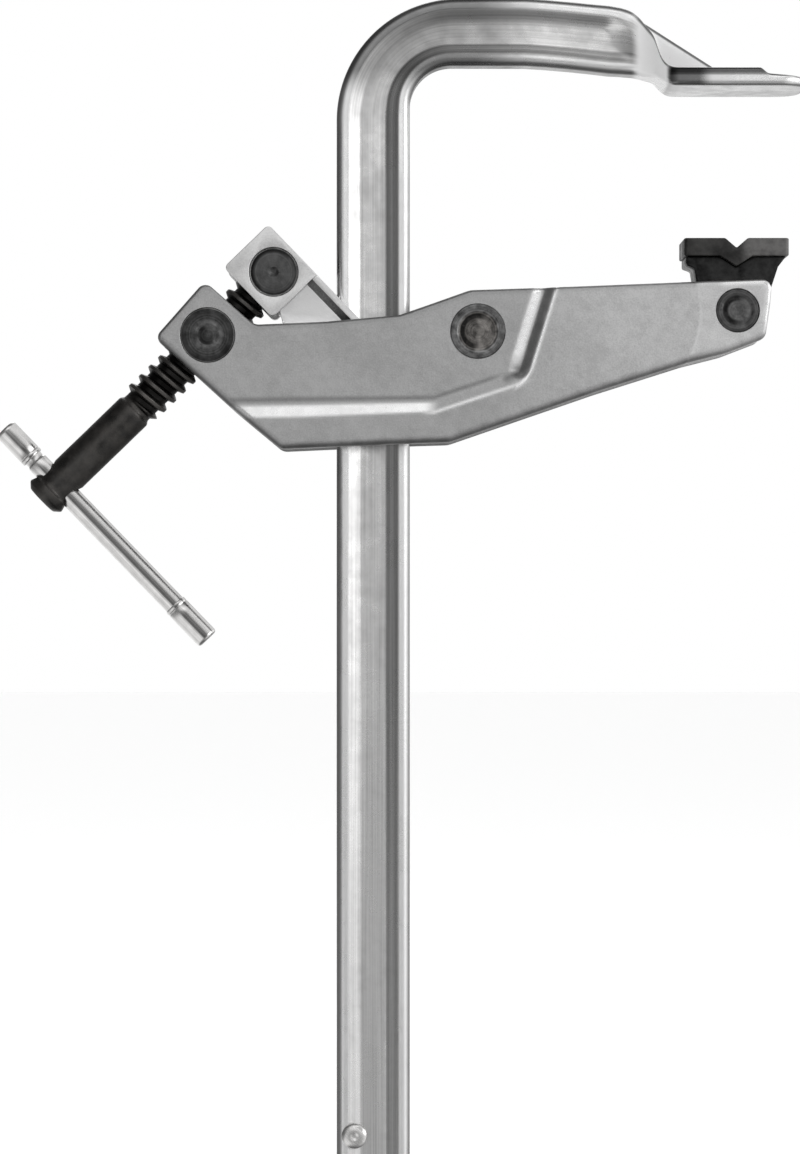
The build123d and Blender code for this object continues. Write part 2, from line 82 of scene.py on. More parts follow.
def asArray(points):
    return np.array([tuple(p) for p in points], float)


def newPiece(name, vertices, faces, material, smoothAngle=40.0, attributes=None):
    mesh = bpy.data.meshes.new(name)
    mesh.from_pydata([tuple(c * millimetre for c in v) for v in vertices], [], faces)
    for key, values in (attributes or {}).items():
        layer = mesh.attributes.new(key, "FLOAT_VECTOR", "POINT")
        layer.data.foreach_set("vector", np.array(values, float).ravel())
    mesh.validate()
    tidyMesh(mesh, smoothAngle)
    mesh.materials.append(material)
    return newObject(name, mesh)


def tidyMesh(mesh, smoothAngle):
    # weld, turn every face outwards, smooth all but the hard edges
    work = bmesh.new()
    work.from_mesh(mesh)
    bmesh.ops.remove_doubles(work, verts=work.verts, dist=2e-6)
    bmesh.ops.dissolve_degenerate(work, edges=work.edges, dist=1e-6)
    bmesh.ops.recalc_face_normals(work, faces=work.faces)
    work.to_mesh(mesh)
    work.free()
    mesh.shade_smooth()
    mesh.set_sharp_from_angle(angle=math.radians(smoothAngle))
    mesh.update()


def loopStrip(first, second, count):
    # quads between two rings of points that start at these indices
    nexts = [(i + 1) % count for i in range(count)]
    return [(first + i, first + n, second + n, second + i) for i, n in enumerate(nexts)]


def roundedPath(points, radii):
    # each corner of a closed path becomes an arc that touches both of its sides
    arcStep = 0.6
    path = []
    for index, (here, radius) in enumerate(zip(points, radii)):
        before = points[index - 1] - here
        after = points[(index + 1) % len(points)] - here
        half = before.angle(after) / 2
        if half > math.radians(89.5):
            path.append(here)
            continue
        reach = min(radius / math.tan(half), 0.48 * before.length, 0.48 * after.length)
        radius = reach * math.tan(half)
        middle = (before.normalized() + after.normalized()).normalized()
        centre = here + middle * (radius / math.sin(half))
        start = here + before.normalized() * reach - centre
        end = here + after.normalized() * reach - centre
        sweep = math.pi - 2 * half
        parts = max(2, math.ceil(radius * sweep / arcStep))
        for part in range(parts + 1):
            share = part / parts
            first = math.sin((1 - share) * sweep) / math.sin(sweep)
            second = math.sin(share * sweep) / math.sin(sweep)
            path.append(centre + start * first + end * second)
    return path


def divided(path, step):
    # the same closed path with no run longer than step
    dense = []
    for here, there in zip(path, path[1:] + path[:1]):
        parts = max(1, math.ceil((there - here).length / step))
        dense.extend(here.lerp(there, part / parts) for part in range(parts))
    return dense


def outwardNormals(loop):
    # loop runs clockwise or the other way; its area says which
    area = sum(a.x * b.y - b.x * a.y for a, b in zip(loop, loop[1:] + loop[:1]))
    way = 1 if area > 0 else -1
    normals = []
    for index in range(len(loop)):
        tangent = loop[(index + 1) % len(loop)] - loop[index - 1]
        normals.append(Vector((tangent.y, -tangent.x)).normalized() * way)
    return normals


def segmentDistance(points, path, closed=True):
    # distance of many points from a path
    starts = asArray(path)
    ends = np.roll(starts, -1, axis=0)
    if not closed:
        starts, ends = starts[:-1], ends[:-1]
    best = np.full(len(points), 1e9)
    for start, end in zip(starts, ends):
        run = end - start
        share = np.clip(((points - start) @ run) / max(run @ run, 1e-12), 0, 1)
        best = np.minimum(best, np.linalg.norm(points - start - share[:, None] * run, axis=1))
    return best


def insideLoop(points, loop):
    # which points a closed path holds
    inside = np.zeros(len(points), bool)
    corners = [tuple(p) for p in loop]
    for (x1, y1), (x2, y2) in zip(corners, corners[1:] + corners[:1]):
        if y1 == y2:
            continue
        crosses = (points[:, 1] < y1) != (points[:, 1] < y2)
        reach = x1 + (points[:, 1] - y1) * (x2 - x1) / (y2 - y1)
        inside ^= crosses & (points[:, 0] < reach)
    return inside


def smoothStep(low, high, value):
    share = np.clip((value - low) / (high - low), 0, 1)
    return share * share * (3 - 2 * share)


def circlePoints(centre, radius, count):
    angles = [2 * math.pi * i / count for i in range(count)]
    return [centre + Vector((math.cos(a), math.sin(a))) * radius for a in angles]


def triangulated(loops, extra, keep):
    # triangles over the loops' and the extra points; keep says which stay
    points, edges = [], []
    for loop in loops:
        first = len(points)
        points.extend(Vector(p) for p in loop)
        edges.extend((first + i, first + (i + 1) % len(loop)) for i in range(len(loop)))
    points.extend(Vector(p) for p in extra)
    made = geometry.delaunay_2d_cdt(points, edges, [], 0, 1e-6)
    flat = asArray(made[0])
    triangles = np.array([tuple(f) for f in made[2]], int)
    wanted = keep(flat[triangles].mean(axis=1))
    return flat, triangles[wanted]


def softenedCopy(name, node, material, edgeWidth, segments):
    # the CAD node's shape with its hard edges rounded off
    work = bmesh.new()
    work.from_mesh(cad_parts[node].data)
    bmesh.ops.remove_doubles(work, verts=work.verts, dist=5e-6)
    bmesh.ops.dissolve_limit(work, angle_limit=math.radians(0.6), verts=work.verts, edges=work.edges)
    plain = bpy.data.meshes.new(name)
    work.to_mesh(plain)
    work.free()
    vertices = [tuple(v.co / millimetre) for v in plain.vertices]
    faces = [tuple(p.vertices) for p in plain.polygons]
    piece = newPiece(name, vertices, faces, material)
    bevel = piece.modifiers.new("roundedEdges", "BEVEL")
    bevel.width = edgeWidth * millimetre
    bevel.segments = segments
    bevel.limit_method = "ANGLE"
    bevel.angle_limit = math.radians(30.0)
    bevel.use_clamp_overlap = True
    applyModifiers(piece, 35.0)
    return piece


def applyModifiers(piece, smoothAngle):
    # what the modifiers give becomes the piece's plain mesh
    depsgraph = bpy.context.evaluated_depsgraph_get()
    evaluated = piece.evaluated_get(depsgraph)
    mesh = bpy.data.meshes.new_from_object(evaluated, depsgraph=depsgraph)
    piece.modifiers.clear()
    piece.data = mesh
    tidyMesh(mesh, smoothAngle)


def turnedPiece(name, profile, centre, axis, material, segments=96, wobble=None):
    # a lathe: profile is (distance along the axis, radius) from one end to the other
    axis = Vector(axis).normalized()
    side = axis.orthogonal().normalized()
    other = axis.cross(side)
    vertices, faces = [], []
    for reach, radius in profile:
        for part in range(segments):
            angle = 2 * math.pi * part / segments
            spoke = side * math.cos(angle) + other * math.sin(angle)
            shift = wobble(reach, radius, angle) if wobble else 0.0
            vertices.append(centre + axis * (reach + shift) + spoke * radius)
    for ring in range(len(profile) - 1):
        faces.extend(loopStrip(ring * segments, (ring + 1) * segments, segments))
    for ring in (0, len(profile) - 1):
        pole = len(vertices)
        shift = wobble(profile[ring][0], 0.0, 0.0) if wobble else 0.0
        vertices.append(centre + axis * (profile[ring][0] + shift))
        first = ring * segments
        faces.extend((first + i, first + (i + 1) % segments, pole) for i in range(segments))
    return newPiece(name, vertices, faces, material, 32.0)


# nodes
def addNode(tree, kind, inputs=None, **settings):
    node = tree.nodes.new(kind)
    for key, value in settings.items():
        setattr(node, key, value)
    for key, value in (inputs or {}).items():
        if isinstance(value, bpy.types.NodeSocket):
            tree.links.new(value, node.inputs[key])
        else:
            node.inputs[key].default_value = value
    return node


def maths(tree, operation, *values, clamp=False):
    inputs = dict(enumerate(values))
    return addNode(tree, "ShaderNodeMath", inputs, operation=operation, use_clamp=clamp).outputs[0]


def vectorMaths(tree, operation, *values, output="Vector"):
    inputs = dict(enumerate(values))
    return addNode(tree, "ShaderNodeVectorMath", inputs, operation=operation).outputs[output]


def scaled(tree, vector, amount):
    inputs = {0: vector, "Scale": amount}
    return addNode(tree, "ShaderNodeVectorMath", inputs, operation="SCALE").outputs[0]


def parted(tree, vector):
    return addNode(tree, "ShaderNodeSeparateXYZ", {0: vector}).outputs


def noiseOf(tree, vector, scale, **settings):
    inputs = {"Vector": vector, "Scale": scale, **settings}
    return addNode(tree, "ShaderNodeTexNoise", inputs).outputs[0]


def bumped(tree, shader, height, distance, **settings):
    bump = addNode(tree, "ShaderNodeBump", {"Height": height, "Distance": distance, **settings})
    tree.links.new(bump.outputs[0], shader.inputs["Normal"])


def mapped(tree, value, low, high, newLow, newHigh, smooth=False):
    kind = "SMOOTHSTEP" if smooth else "LINEAR"
    inputs = dict(enumerate((value, low, high, newLow, newHigh)))
    return addNode(tree, "ShaderNodeMapRange", inputs, interpolation_type=kind, clamp=True).outputs[0]


def both(tree, first, second):
    return maths(tree, "MULTIPLY", first, second)


def mixedColour(tree, factor, first, second):
    # sockets 0, 6 and 7 are a colour mix's factor and colours, and output 2 its result
    inputs = {0: factor, 6: first, 7: second}
    return addNode(tree, "ShaderNodeMix", inputs, data_type="RGBA").outputs[2]


def curveNode(tree, value, levels):
    # a curve through (place, level) points; the ramp holds half of each level
    low, high = levels[0][0], levels[-1][0]
    node = addNode(tree, "ShaderNodeValToRGB", {"Fac": mapped(tree, value, low, high, 0.0, 1.0)})
    ramp = node.color_ramp
    ramp.interpolation = "EASE"
    while len(ramp.elements) < len(levels):
        ramp.elements.new(0.5)
    for element, (place, level) in zip(ramp.elements, levels):
        element.position = (place - low) / (high - low)
        element.color = (level / 2, level / 2, level / 2, 1.0)
    return both(tree, node.outputs["Color"], 2.0)


def groupTree(name, kind, inputs, outputs):
    tree = bpy.data.node_groups.new(name, kind)
    for label, socketKind, value in inputs:
        socket = tree.interface.new_socket(label, in_out="INPUT", socket_type=socketKind)
        if value is not None:
            socket.default_value = value
    for label, socketKind in outputs:
        tree.interface.new_socket(label, in_out="OUTPUT", socket_type=socketKind)
    return tree, tree.nodes.new("NodeGroupInput"), tree.nodes.new("NodeGroupOutput")


def placedGroup(tree, group, inputs):
    return addNode(tree, "ShaderNodeGroup", inputs, node_tree=group).outputs


number, point, colour = "NodeSocketFloat", "NodeSocketVector", "NodeSocketColor"


def makeEdgeWear():
    # where an edge is rubbed bright, broken up by noise
    group, inside, out = groupTree(
        "edgeWear",
        "ShaderNodeTree",
        [
            ("Vector", point, None),
            ("Width", number, 0.0008),
            ("Gain", number, 3.0),
            ("Breakup", number, 300.0),
        ],
        [("Mask", number)],
    )
    rounded = addNode(group, "ShaderNodeBevel", {"Radius": inside.outputs["Width"]}, samples=6)
    true = addNode(group, "ShaderNodeNewGeometry")
    product = vectorMaths(group, "DOT_PRODUCT", rounded.outputs[0], true.outputs["Normal"], output="Value")
    spread = maths(group, "SUBTRACT", 1.0, product, clamp=True)
    lifted = maths(group, "MULTIPLY", spread, inside.outputs["Gain"], clamp=True)
    patches = noiseOf(group, inside.outputs["Vector"], inside.outputs["Breakup"], Detail=3.0)
    broken = mapped(group, patches, 0.35, 0.65, 0.35, 1.0)
    group.links.new(both(group, lifted, broken), out.inputs["Mask"])
    return group


def makeForgedGrain():
    # shot-blasted and plated: fine grain, soft dents, and blotches of tone
    group, inside, out = groupTree(
        "forgedGrain",
        "ShaderNodeTree",
        [
            ("Vector", point, None),
            ("Grain", number, 1800.0),
            ("Dents", number, 260.0),
            ("Blotches", number, 45.0),
        ],
        [("Tone", number), ("Grain", number), ("Height", number)],
    )
    use = inside.outputs
    fine = noiseOf(group, use["Vector"], use["Grain"], Detail=2.0)
    dents = noiseOf(group, use["Vector"], use["Dents"], Detail=3.0, Roughness=0.55)
    blotches = noiseOf(group, use["Vector"], use["Blotches"], Detail=4.0, Roughness=0.6)
    tone = maths(group, "MULTIPLY_ADD", dents, 0.4, both(group, blotches, 0.6))
    height = maths(group, "MULTIPLY_ADD", fine, 0.2, both(group, dents, 0.8))
    group.links.new(tone, out.inputs["Tone"])
    group.links.new(fine, out.inputs["Grain"])
    group.links.new(height, out.inputs["Height"])
    return group


def makeDrawnLines():
    # long fine lines along the vector's third direction, as rolling leaves them
    group, inside, out = groupTree(
        "drawnLines",
        "ShaderNodeTree",
        [("Vector", point, None), ("Across", number, 1400.0), ("Lengthwise", number, 9.0)],
        [("Lines", number), ("Height", number)],
    )
    use = inside.outputs
    stretch = {"X": use["Across"], "Y": use["Across"], "Z": use["Lengthwise"]}
    stretch = addNode(group, "ShaderNodeCombineXYZ", stretch).outputs[0]
    drawn = vectorMaths(group, "MULTIPLY", use["Vector"], stretch)
    lines = noiseOf(group, drawn, 1.0, Detail=4.0, Roughness=0.6)
    group.links.new(lines, out.inputs["Lines"])
    group.links.new(mapped(group, lines, 0.3, 0.7, 0.0, 1.0), out.inputs["Height"])
    return group


def makeTurnedRings():
    # rings that a lathe tool leaves on an end face; the vector is centred on the pin, and Y is its axis
    group, inside, out = groupTree(
        "turnedRings",
        "ShaderNodeTree",
        [("Vector", point, None), ("Spacing", number, 0.0005), ("Waver", number, 0.15)],
        [("Rings", number), ("Radius", number)],
    )
    use = inside.outputs
    parts = parted(group, use["Vector"])
    squareX = both(group, parts["X"], parts["X"])
    radius = maths(group, "SQRT", maths(group, "MULTIPLY_ADD", parts["Z"], parts["Z"], squareX))
    shift = both(group, noiseOf(group, use["Vector"], 160.0), use["Waver"])
    turns = maths(group, "ADD", maths(group, "DIVIDE", radius, use["Spacing"]), shift)
    rings = addNode(
        group, "ShaderNodeTexNoise", {"W": turns, "Scale": 1.0, "Detail": 2.0}, noise_dimensions="1D"
    )
    group.links.new(rings.outputs[0], out.inputs["Rings"])
    group.links.new(radius, out.inputs["Radius"])
    return group


def makeDustFilm():
    # dull film and specks in patches
    group, inside, out = groupTree(
        "dustFilm",
        "ShaderNodeTree",
        [("Vector", point, None), ("Patches", number, 60.0), ("Specks", number, 900.0)],
        [("Film", number), ("Specks", number)],
    )
    use = inside.outputs
    patches = noiseOf(group, use["Vector"], use["Patches"], Detail=5.0)
    specks = noiseOf(group, use["Vector"], use["Specks"])
    group.links.new(mapped(group, patches, 0.42, 0.7, 0.0, 1.0, True), out.inputs["Film"])
    group.links.new(mapped(group, specks, 0.66, 0.78, 0.0, 1.0), out.inputs["Specks"])
    return group


edgeWear = makeEdgeWear()
forgedGrain = makeForgedGrain()
drawnLines = makeDrawnLines()
turnedRings = makeTurnedRings()
dustFilm = makeDustFilm()
print("shader groups made")


def newMaterial(name, **values):
    # gives the material, its tree, its Principled shader and the object's own coordinates
    material = bpy.data.materials.new(name)
    material.use_nodes = True
    tree = material.node_tree
    shader = tree.nodes["Principled BSDF"]
    for key, value in values.items():
        shader.inputs[key.replace("_", " ")].default_value = value
    place = addNode(tree, "ShaderNodeTexCoord")
    return material, tree, shader, place.outputs["Object"]


def grey(level, warmth=0.0):
    return (level * (1 + warmth), level, level * (1 - warmth), 1.0)


# rolled rail: bright zinc with long rolling lines; the flanges are rubbed bright and carry a painted
# highlight, and painted shade lies along one of the channel's slopes and on the outer corners
railLook = {
    "dark": grey(0.54, 0.004),
    "light": grey(0.86, 0.004),
    "flange": grey(0.97),
    # places across the bar and along the jaw's height, in metres, each with its factor
    "rubbedAndLitAcross": [
        (-0.0135, 0.5), (-0.0112, 1.0), (-0.0094, 1.0), (-0.0086, 0.0), (0.0089, 0.0), (0.0098, 1.0),
        (0.0116, 1.0), (0.0135, 0.5),
    ],
    "paintedShadeAcross": [
        (-0.0135, 0.5), (-0.0126, 0.6), (-0.0112, 1.0), (0.0044, 1.0), (0.0053, 0.74), (0.0068, 1.06),
        (0.0083, 0.76), (0.0092, 0.6), (0.0099, 1.0), (0.0116, 1.0), (0.0129, 0.6), (0.0135, 0.5),
    ],
    # painted light and shade up the jaw's flat sides
    "jawSidePaintedLevels": [
        (0.0, 1.0), (0.0008, 1.0), (0.0014, 0.74), (0.0024, 1.0), (0.0034, 1.0), (0.0044, 0.3),
        (0.0052, 0.14), (0.0062, 0.2), (0.0067, 0.4),
    ],
    # painted shade in the bend, and how much more of it there is on the flanges
    "bendShade": (0.36, 0.34),
    # height and fall of the web's sloping edge
    "webLine": (0.003826, -0.6386),
    # painted light on the neck and web, and painted shade in their corners
    "paintedNeckAndWebLight": grey(0.97),
    "cornerShade": grey(0.05),
    "roughness": (0.22, 0.36),
    "lineDepth": 0.00003,
    "dentDepth": 0.00004,
}


# most of a noise's values lie between these
noiseLow, noiseHigh = 0.38, 0.62


def makeRailMaterial():
    material, tree, shader, place = newMaterial("rolledZinc", Metallic=1.0)
    rolled = addNode(tree, "ShaderNodeAttribute", attribute_name="rolling").outputs["Vector"]
    lines = placedGroup(tree, drawnLines, {"Vector": rolled})
    values = {"Vector": place, "Grain": 1500.0, "Dents": 180.0, "Blotches": 38.0}
    grain = placedGroup(tree, forgedGrain, values)
    tone = maths(tree, "MULTIPLY_ADD", lines["Lines"], 0.5, both(tree, grain["Tone"], 0.5))
    tone = mapped(tree, tone, noiseLow, noiseHigh, 0.0, 1.0)
    base = mixedColour(tree, tone, railLook["dark"], railLook["light"])
    width = parted(tree, rolled)["X"]
    # the flanges are rubbed bright and given a painted highlight
    flange = curveNode(tree, width, railLook["rubbedAndLitAcross"])
    streaked = both(tree, flange, mapped(tree, lines["Lines"], 0.35, 0.6, 1.0, 0.8))
    base = mixedColour(tree, streaked, base, railLook["flange"])
    # painted shade across the bar: along one of the channel's slopes and at the outer corners
    base = scaled(tree, base, curveNode(tree, width, railLook["paintedShadeAcross"]))
    spot = parted(tree, place)
    depth = maths(tree, "ABSOLUTE", spot["Y"])

    def over(axis, *places):
        return mapped(tree, spot[axis], *places)

    # painted shade where the bar bends, deepest on the flanges
    bendShadeMask = both(tree, over("Z", -0.002, 0.008, 0.0, 1.0, True), over("X", -0.098, -0.068, 1.0, 0.0, True))
    shade, flangeShade = railLook["bendShade"]
    bendShadeLoss = both(tree, bendShadeMask, maths(tree, "MULTIPLY_ADD", flange, flangeShade, shade))
    base = scaled(tree, base, maths(tree, "SUBTRACT", 1.0, bendShadeLoss))
    # painted light and shade on the jaw's flat sides: light in the middle, painted shade along the top and
    # towards the neck; and a painted highlight on its clamping face
    aside = both(tree, mapped(tree, depth, 0.0158, 0.0169, 0.0, 1.0), over("Z", 0.0, 0.0005, 0.0, 1.0))
    jawSideLightAndShade = scaled(tree, railLook["flange"][:3], curveNode(tree, spot["Z"], railLook["jawSidePaintedLevels"]))
    jawSideLightAndShade = scaled(tree, jawSideLightAndShade, over("X", -0.0145, -0.0085, 0.22, 1.0, True))
    base = mixedColour(tree, aside, base, jawSideLightAndShade)
    face = both(tree, over("Z", 0.0002, 0.0006, 0.7, 0.0), over("X", -0.026, -0.020, 0.0, 1.0))
    base = mixedColour(tree, face, base, railLook["flange"])
    # painted light on the neck and the web above the jaw, which are made pale and mostly not metal there,
    # with painted shade along their corners and along the web's sloping edge
    pastBend = over("X", -0.0385, -0.0350, 0.0, 1.0, True)
    onNeck = both(tree, pastBend, over("X", -0.0262, -0.0246, 1.0, 0.0, True))
    aboveJaw = both(tree, over("Z", 0.0068, 0.0076, 0.0, 1.0), over("X", -0.0335, -0.0325, 0.0, 1.0))
    onWeb = both(tree, mapped(tree, depth, 0.0034, 0.0040, 1.0, 0.0), aboveJaw)
    offWeb = mapped(tree, depth, 0.0038, 0.0046, 0.0, 0.9)
    corner = both(tree, both(tree, onNeck, offWeb), mapped(tree, width, -0.0120, -0.0108, 1.0, 0.0))
    webTop, webFall = railLook["webLine"]
    under = maths(tree, "SUBTRACT", maths(tree, "MULTIPLY_ADD", spot["X"], webFall, webTop), spot["Z"])
    webEdgeShade = mapped(tree, under, 0.0010, 0.0017, 0.9, 0.0)
    paintedNeckAndWebLight = maths(tree, "MAXIMUM", onNeck, onWeb)
    base = mixedColour(tree, paintedNeckAndWebLight, base, railLook["paintedNeckAndWebLight"])
    line = maths(tree, "MAXIMUM", corner, both(tree, onWeb, webEdgeShade))
    base = mixedColour(tree, line, base, railLook["cornerShade"])
    tree.links.new(base, shader.inputs["Base Color"])
    tree.links.new(mapped(tree, paintedNeckAndWebLight, 0.0, 1.0, 1.0, 0.12), shader.inputs["Metallic"])
    low, high = railLook["roughness"]
    tree.links.new(mapped(tree, grain["Tone"], 0.4, 0.62, high, low), shader.inputs["Roughness"])
    rolledLines = {"Height": lines["Height"], "Strength": 0.5, "Distance": railLook["lineDepth"]}
    lineBump = addNode(tree, "ShaderNodeBump", rolledLines)
    bumped(tree, shader, grain["Height"], railLook["dentDepth"], Normal=lineBump.outputs[0])
    return material


# forgings: satin zinc over a blasted skin
leverLook = {"name": "forgedZincLever", "dark": grey(0.44), "light": grey(0.58), "roughness": (0.36, 0.48)}
# the arm's web factor is painted light on its sunken web
armLook = {
    "name": "forgedZincArm", "dark": grey(0.76, 0.003), "light": grey(0.90, 0.003),
    "roughness": (0.32, 0.44), "paintedWebLight": 1.0,
}
# painted shade: a dark forging for the rib's drafted flanks
shadedFlankLook = {
    "name": "forgedZincCorner", "dark": grey(0.10), "light": grey(0.20),
    "roughness": (0.4, 0.5), "paintedWebLight": 0.0,
}
# tones of painted highlight, painted shade and dust specks
paintedAndWornTones = {"wearAndHighlight": grey(0.98), "paintedShade": grey(0.12), "speck": grey(0.30, 0.02)}


def makeForgedMaterial(look, painted=False):
    # the painted kind's attribute "skin" says where it has painted highlight and painted shade, and its tone
    material, tree, shader, place = newMaterial(look["name"], Metallic=1.0)
    grain = placedGroup(tree, forgedGrain, {"Vector": place})
    film = placedGroup(tree, dustFilm, {"Vector": place, "Patches": 70.0})
    tone = maths(tree, "MULTIPLY_ADD", grain["Grain"], 0.35, both(tree, grain["Tone"], 0.65))
    tone = mapped(tree, tone, 0.40, 0.60, 0.0, 1.0)
    base = mixedColour(tree, tone, look["dark"], look["light"])
    if painted:
        skin = addNode(tree, "ShaderNodeAttribute", attribute_name="skin").outputs["Vector"]
        parts = parted(tree, skin)
        base = scaled(tree, base, parts["Z"])
        base = mixedColour(tree, parts["X"], base, paintedAndWornTones["wearAndHighlight"])
        base = mixedColour(tree, parts["Y"], base, paintedAndWornTones["paintedShade"])
    else:
        # painted light: the sunken webs are lit brighter than the faces
        depth = maths(tree, "ABSOLUTE", parted(tree, place)["Y"])
        onWeb = mapped(tree, depth, 0.0099, 0.0106, look["paintedWebLight"], 0.0)
        base = mixedColour(tree, onWeb, base, paintedAndWornTones["wearAndHighlight"])
    dull = mixedColour(tree, both(tree, film["Specks"], 0.2), base, paintedAndWornTones["speck"])
    tree.links.new(dull, shader.inputs["Base Color"])
    low, high = look["roughness"]
    rough = mapped(tree, grain["Tone"], noiseLow, noiseHigh, low, high)
    if painted:
        rough = maths(tree, "MULTIPLY_ADD", parts["X"], -0.22, rough)
    tree.links.new(rough, shader.inputs["Roughness"])
    bumped(tree, shader, grain["Height"], 0.00018, Strength=0.8)
    return material


def makePinMaterial(name, look):
    # turned steel end, darkened; rings are centred on the pin's own axis. The look's zones give
    # the tone from the middle outwards, and its arc a broken ring of painted shade on one side
    material, tree, shader, place = newMaterial(name, Metallic=1.0)
    middle = inSpace(look["centre"], 0.0) * millimetre
    centred = addNode(tree, "ShaderNodeMapping", {"Vector": place, "Location": tuple(-middle)}).outputs[0]
    rings = placedGroup(tree, turnedRings, {"Vector": centred, "Waver": 0.6})
    grain = placedGroup(tree, forgedGrain, {"Vector": place, "Dents": 420.0, "Blotches": 170.0})
    # the ramp runs over one centimetre, and the zones' radii are millimetres
    zones = addNode(tree, "ShaderNodeValToRGB", {"Fac": mapped(tree, rings["Radius"], 0.0, 0.01, 0.0, 1.0)})
    ramp = zones.color_ramp
    while len(ramp.elements) < len(look["zones"]):
        ramp.elements.new(0.5)
    for element, (radius, level) in zip(ramp.elements, look["zones"]):
        element.position = radius / 10
        element.color = grey(level, look["warmth"] if radius < 7 else 0.0)
    tone = maths(tree, "MULTIPLY_ADD", rings["Rings"], 0.2, both(tree, grain["Tone"], 0.8))
    mottled = mapped(tree, tone, 0.40, 0.60, 1 - look["mottle"], 1 + look["mottle"])
    base = scaled(tree, zones.outputs[0], mottled)
    (inner, outer), angle, amount = look["arc"]
    spots = parted(tree, centred)
    turn = math.radians(angle)
    aside = both(tree, spots["X"], math.cos(turn))
    aside = maths(tree, "MULTIPLY_ADD", spots["Z"], math.sin(turn), aside)
    rise = mapped(tree, rings["Radius"], inner / 1000 - 0.0005, inner / 1000 + 0.0004, 0.0, 1.0, True)
    fall = mapped(tree, rings["Radius"], outer / 1000 - 0.0004, outer / 1000 + 0.0005, 1.0, 0.0, True)
    band = both(tree, rise, fall)
    oneSide = mapped(tree, aside, -0.0022, 0.0012, 0.0, amount, True)
    broken = mapped(tree, grain["Tone"], 0.40, 0.50, 0.55, 1.0)
    shade = maths(tree, "MULTIPLY", both(tree, band, oneSide), broken, clamp=True)
    base = mixedColour(tree, shade, base, grey(0.012))
    tree.links.new(base, shader.inputs["Base Color"])
    low, high = look["roughness"]
    tree.links.new(mapped(tree, tone, 0.4, 0.6, high, low), shader.inputs["Roughness"])
    height = maths(tree, "MULTIPLY_ADD", rings["Rings"], 0.16, grain["Height"])
    bumped(tree, shader, height, 0.0002, Strength=0.8)
    return material


# black oxide: near black, oily, browner and greyer where handled
blackLook = {
    "name": "blackOxide", "dark": grey(0.050, 0.03), "light": grey(0.085, 0.06), "worn": grey(0.22, 0.03),
    "roughness": (0.26, 0.40), "paler": (0.0, 1.0, 0.0), "metal": 0.95, "thread": True,
}
# the pressure plate is rubbed grey on its right half
plateLook = {
    "name": "blackPlate", "dark": grey(0.022, 0.02), "light": grey(0.055, 0.03), "worn": grey(0.20, 0.02),
    "roughness": (0.34, 0.5), "paler": (0.0005, 0.0045, 0.75), "metal": 0.6, "thread": False,
}
saddleLook = {
    "name": "blackSaddle", "dark": grey(0.003), "light": grey(0.045), "worn": grey(0.07),
    "roughness": (0.26, 0.4), "paler": (0.0, 1.0, 0.0), "metal": 0.92, "thread": False,
}


def threadPaintedShade(tree, place):
    # 1 on the shank; in the thread painted shade at the roots, and brighter at the crests, partly rubbed and
    # partly painted highlight
    axis = inSpace(along, 0.0)
    centred = vectorMaths(tree, "SUBTRACT", place, inSpace(layout["nut"], 0.0) * millimetre)
    reach = vectorMaths(tree, "DOT_PRODUCT", centred, axis, output="Value")
    spoke = vectorMaths(tree, "CROSS_PRODUCT", centred, axis)
    radius = vectorMaths(tree, "LENGTH", spoke, output="Value")
    tone = mapped(tree, radius, 0.0064, 0.0081, 0.12, 1.7)
    inThread = mapped(tree, reach, -0.0372, -0.0362, 0.0, 1.0)
    return maths(tree, "MULTIPLY_ADD", maths(tree, "SUBTRACT", tone, 1.0), inThread, 1.0)


def makeBlackMaterial(look):
    material, tree, shader, place = newMaterial(look["name"], Metallic=look["metal"])
    grain = placedGroup(tree, forgedGrain, {"Vector": place, "Dents": 380.0, "Blotches": 120.0})
    wear = placedGroup(tree, edgeWear, {"Vector": place, "Width": 0.0005, "Gain": 1.6})
    film = placedGroup(tree, dustFilm, {"Vector": place, "Patches": 130.0})
    tone = mapped(tree, grain["Tone"], noiseLow, noiseHigh, 0.0, 1.0)
    base = mixedColour(tree, tone, look["dark"], look["light"])
    if look["thread"]:
        # painted shade in the thread's roots
        base = scaled(tree, base, threadPaintedShade(tree, place))
    start, end, amount = look["paler"]
    pale = mapped(tree, parted(tree, place)["X"], start, end, 0.0, amount, True)
    pale = both(tree, pale, mapped(tree, grain["Tone"], 0.42, 0.55, 0.6, 1.0))
    wearAndHighlight = maths(tree, "MULTIPLY_ADD", film["Film"], 0.12, both(tree, wear["Mask"], 0.6))
    wearAndHighlight = maths(tree, "MAXIMUM", wearAndHighlight, pale, clamp=True)
    tree.links.new(mixedColour(tree, wearAndHighlight, base, look["worn"]), shader.inputs["Base Color"])
    low, high = look["roughness"]
    rough = mapped(tree, grain["Tone"], noiseLow, noiseHigh, low, high)
    tree.links.new(maths(tree, "MULTIPLY_ADD", film["Film"], 0.12, rough), shader.inputs["Roughness"])
    bumped(tree, shader, grain["Height"], 0.00014, Strength=0.7)
    return material


# painted reflection: tone of a plated mirror from where it faces the viewer to its turned-away edge
paintedReflectionLevels = [(0.0, 0.22), (0.012, 0.32), (0.035, 0.75), (0.075, 1.05), (1.0, 1.0)]


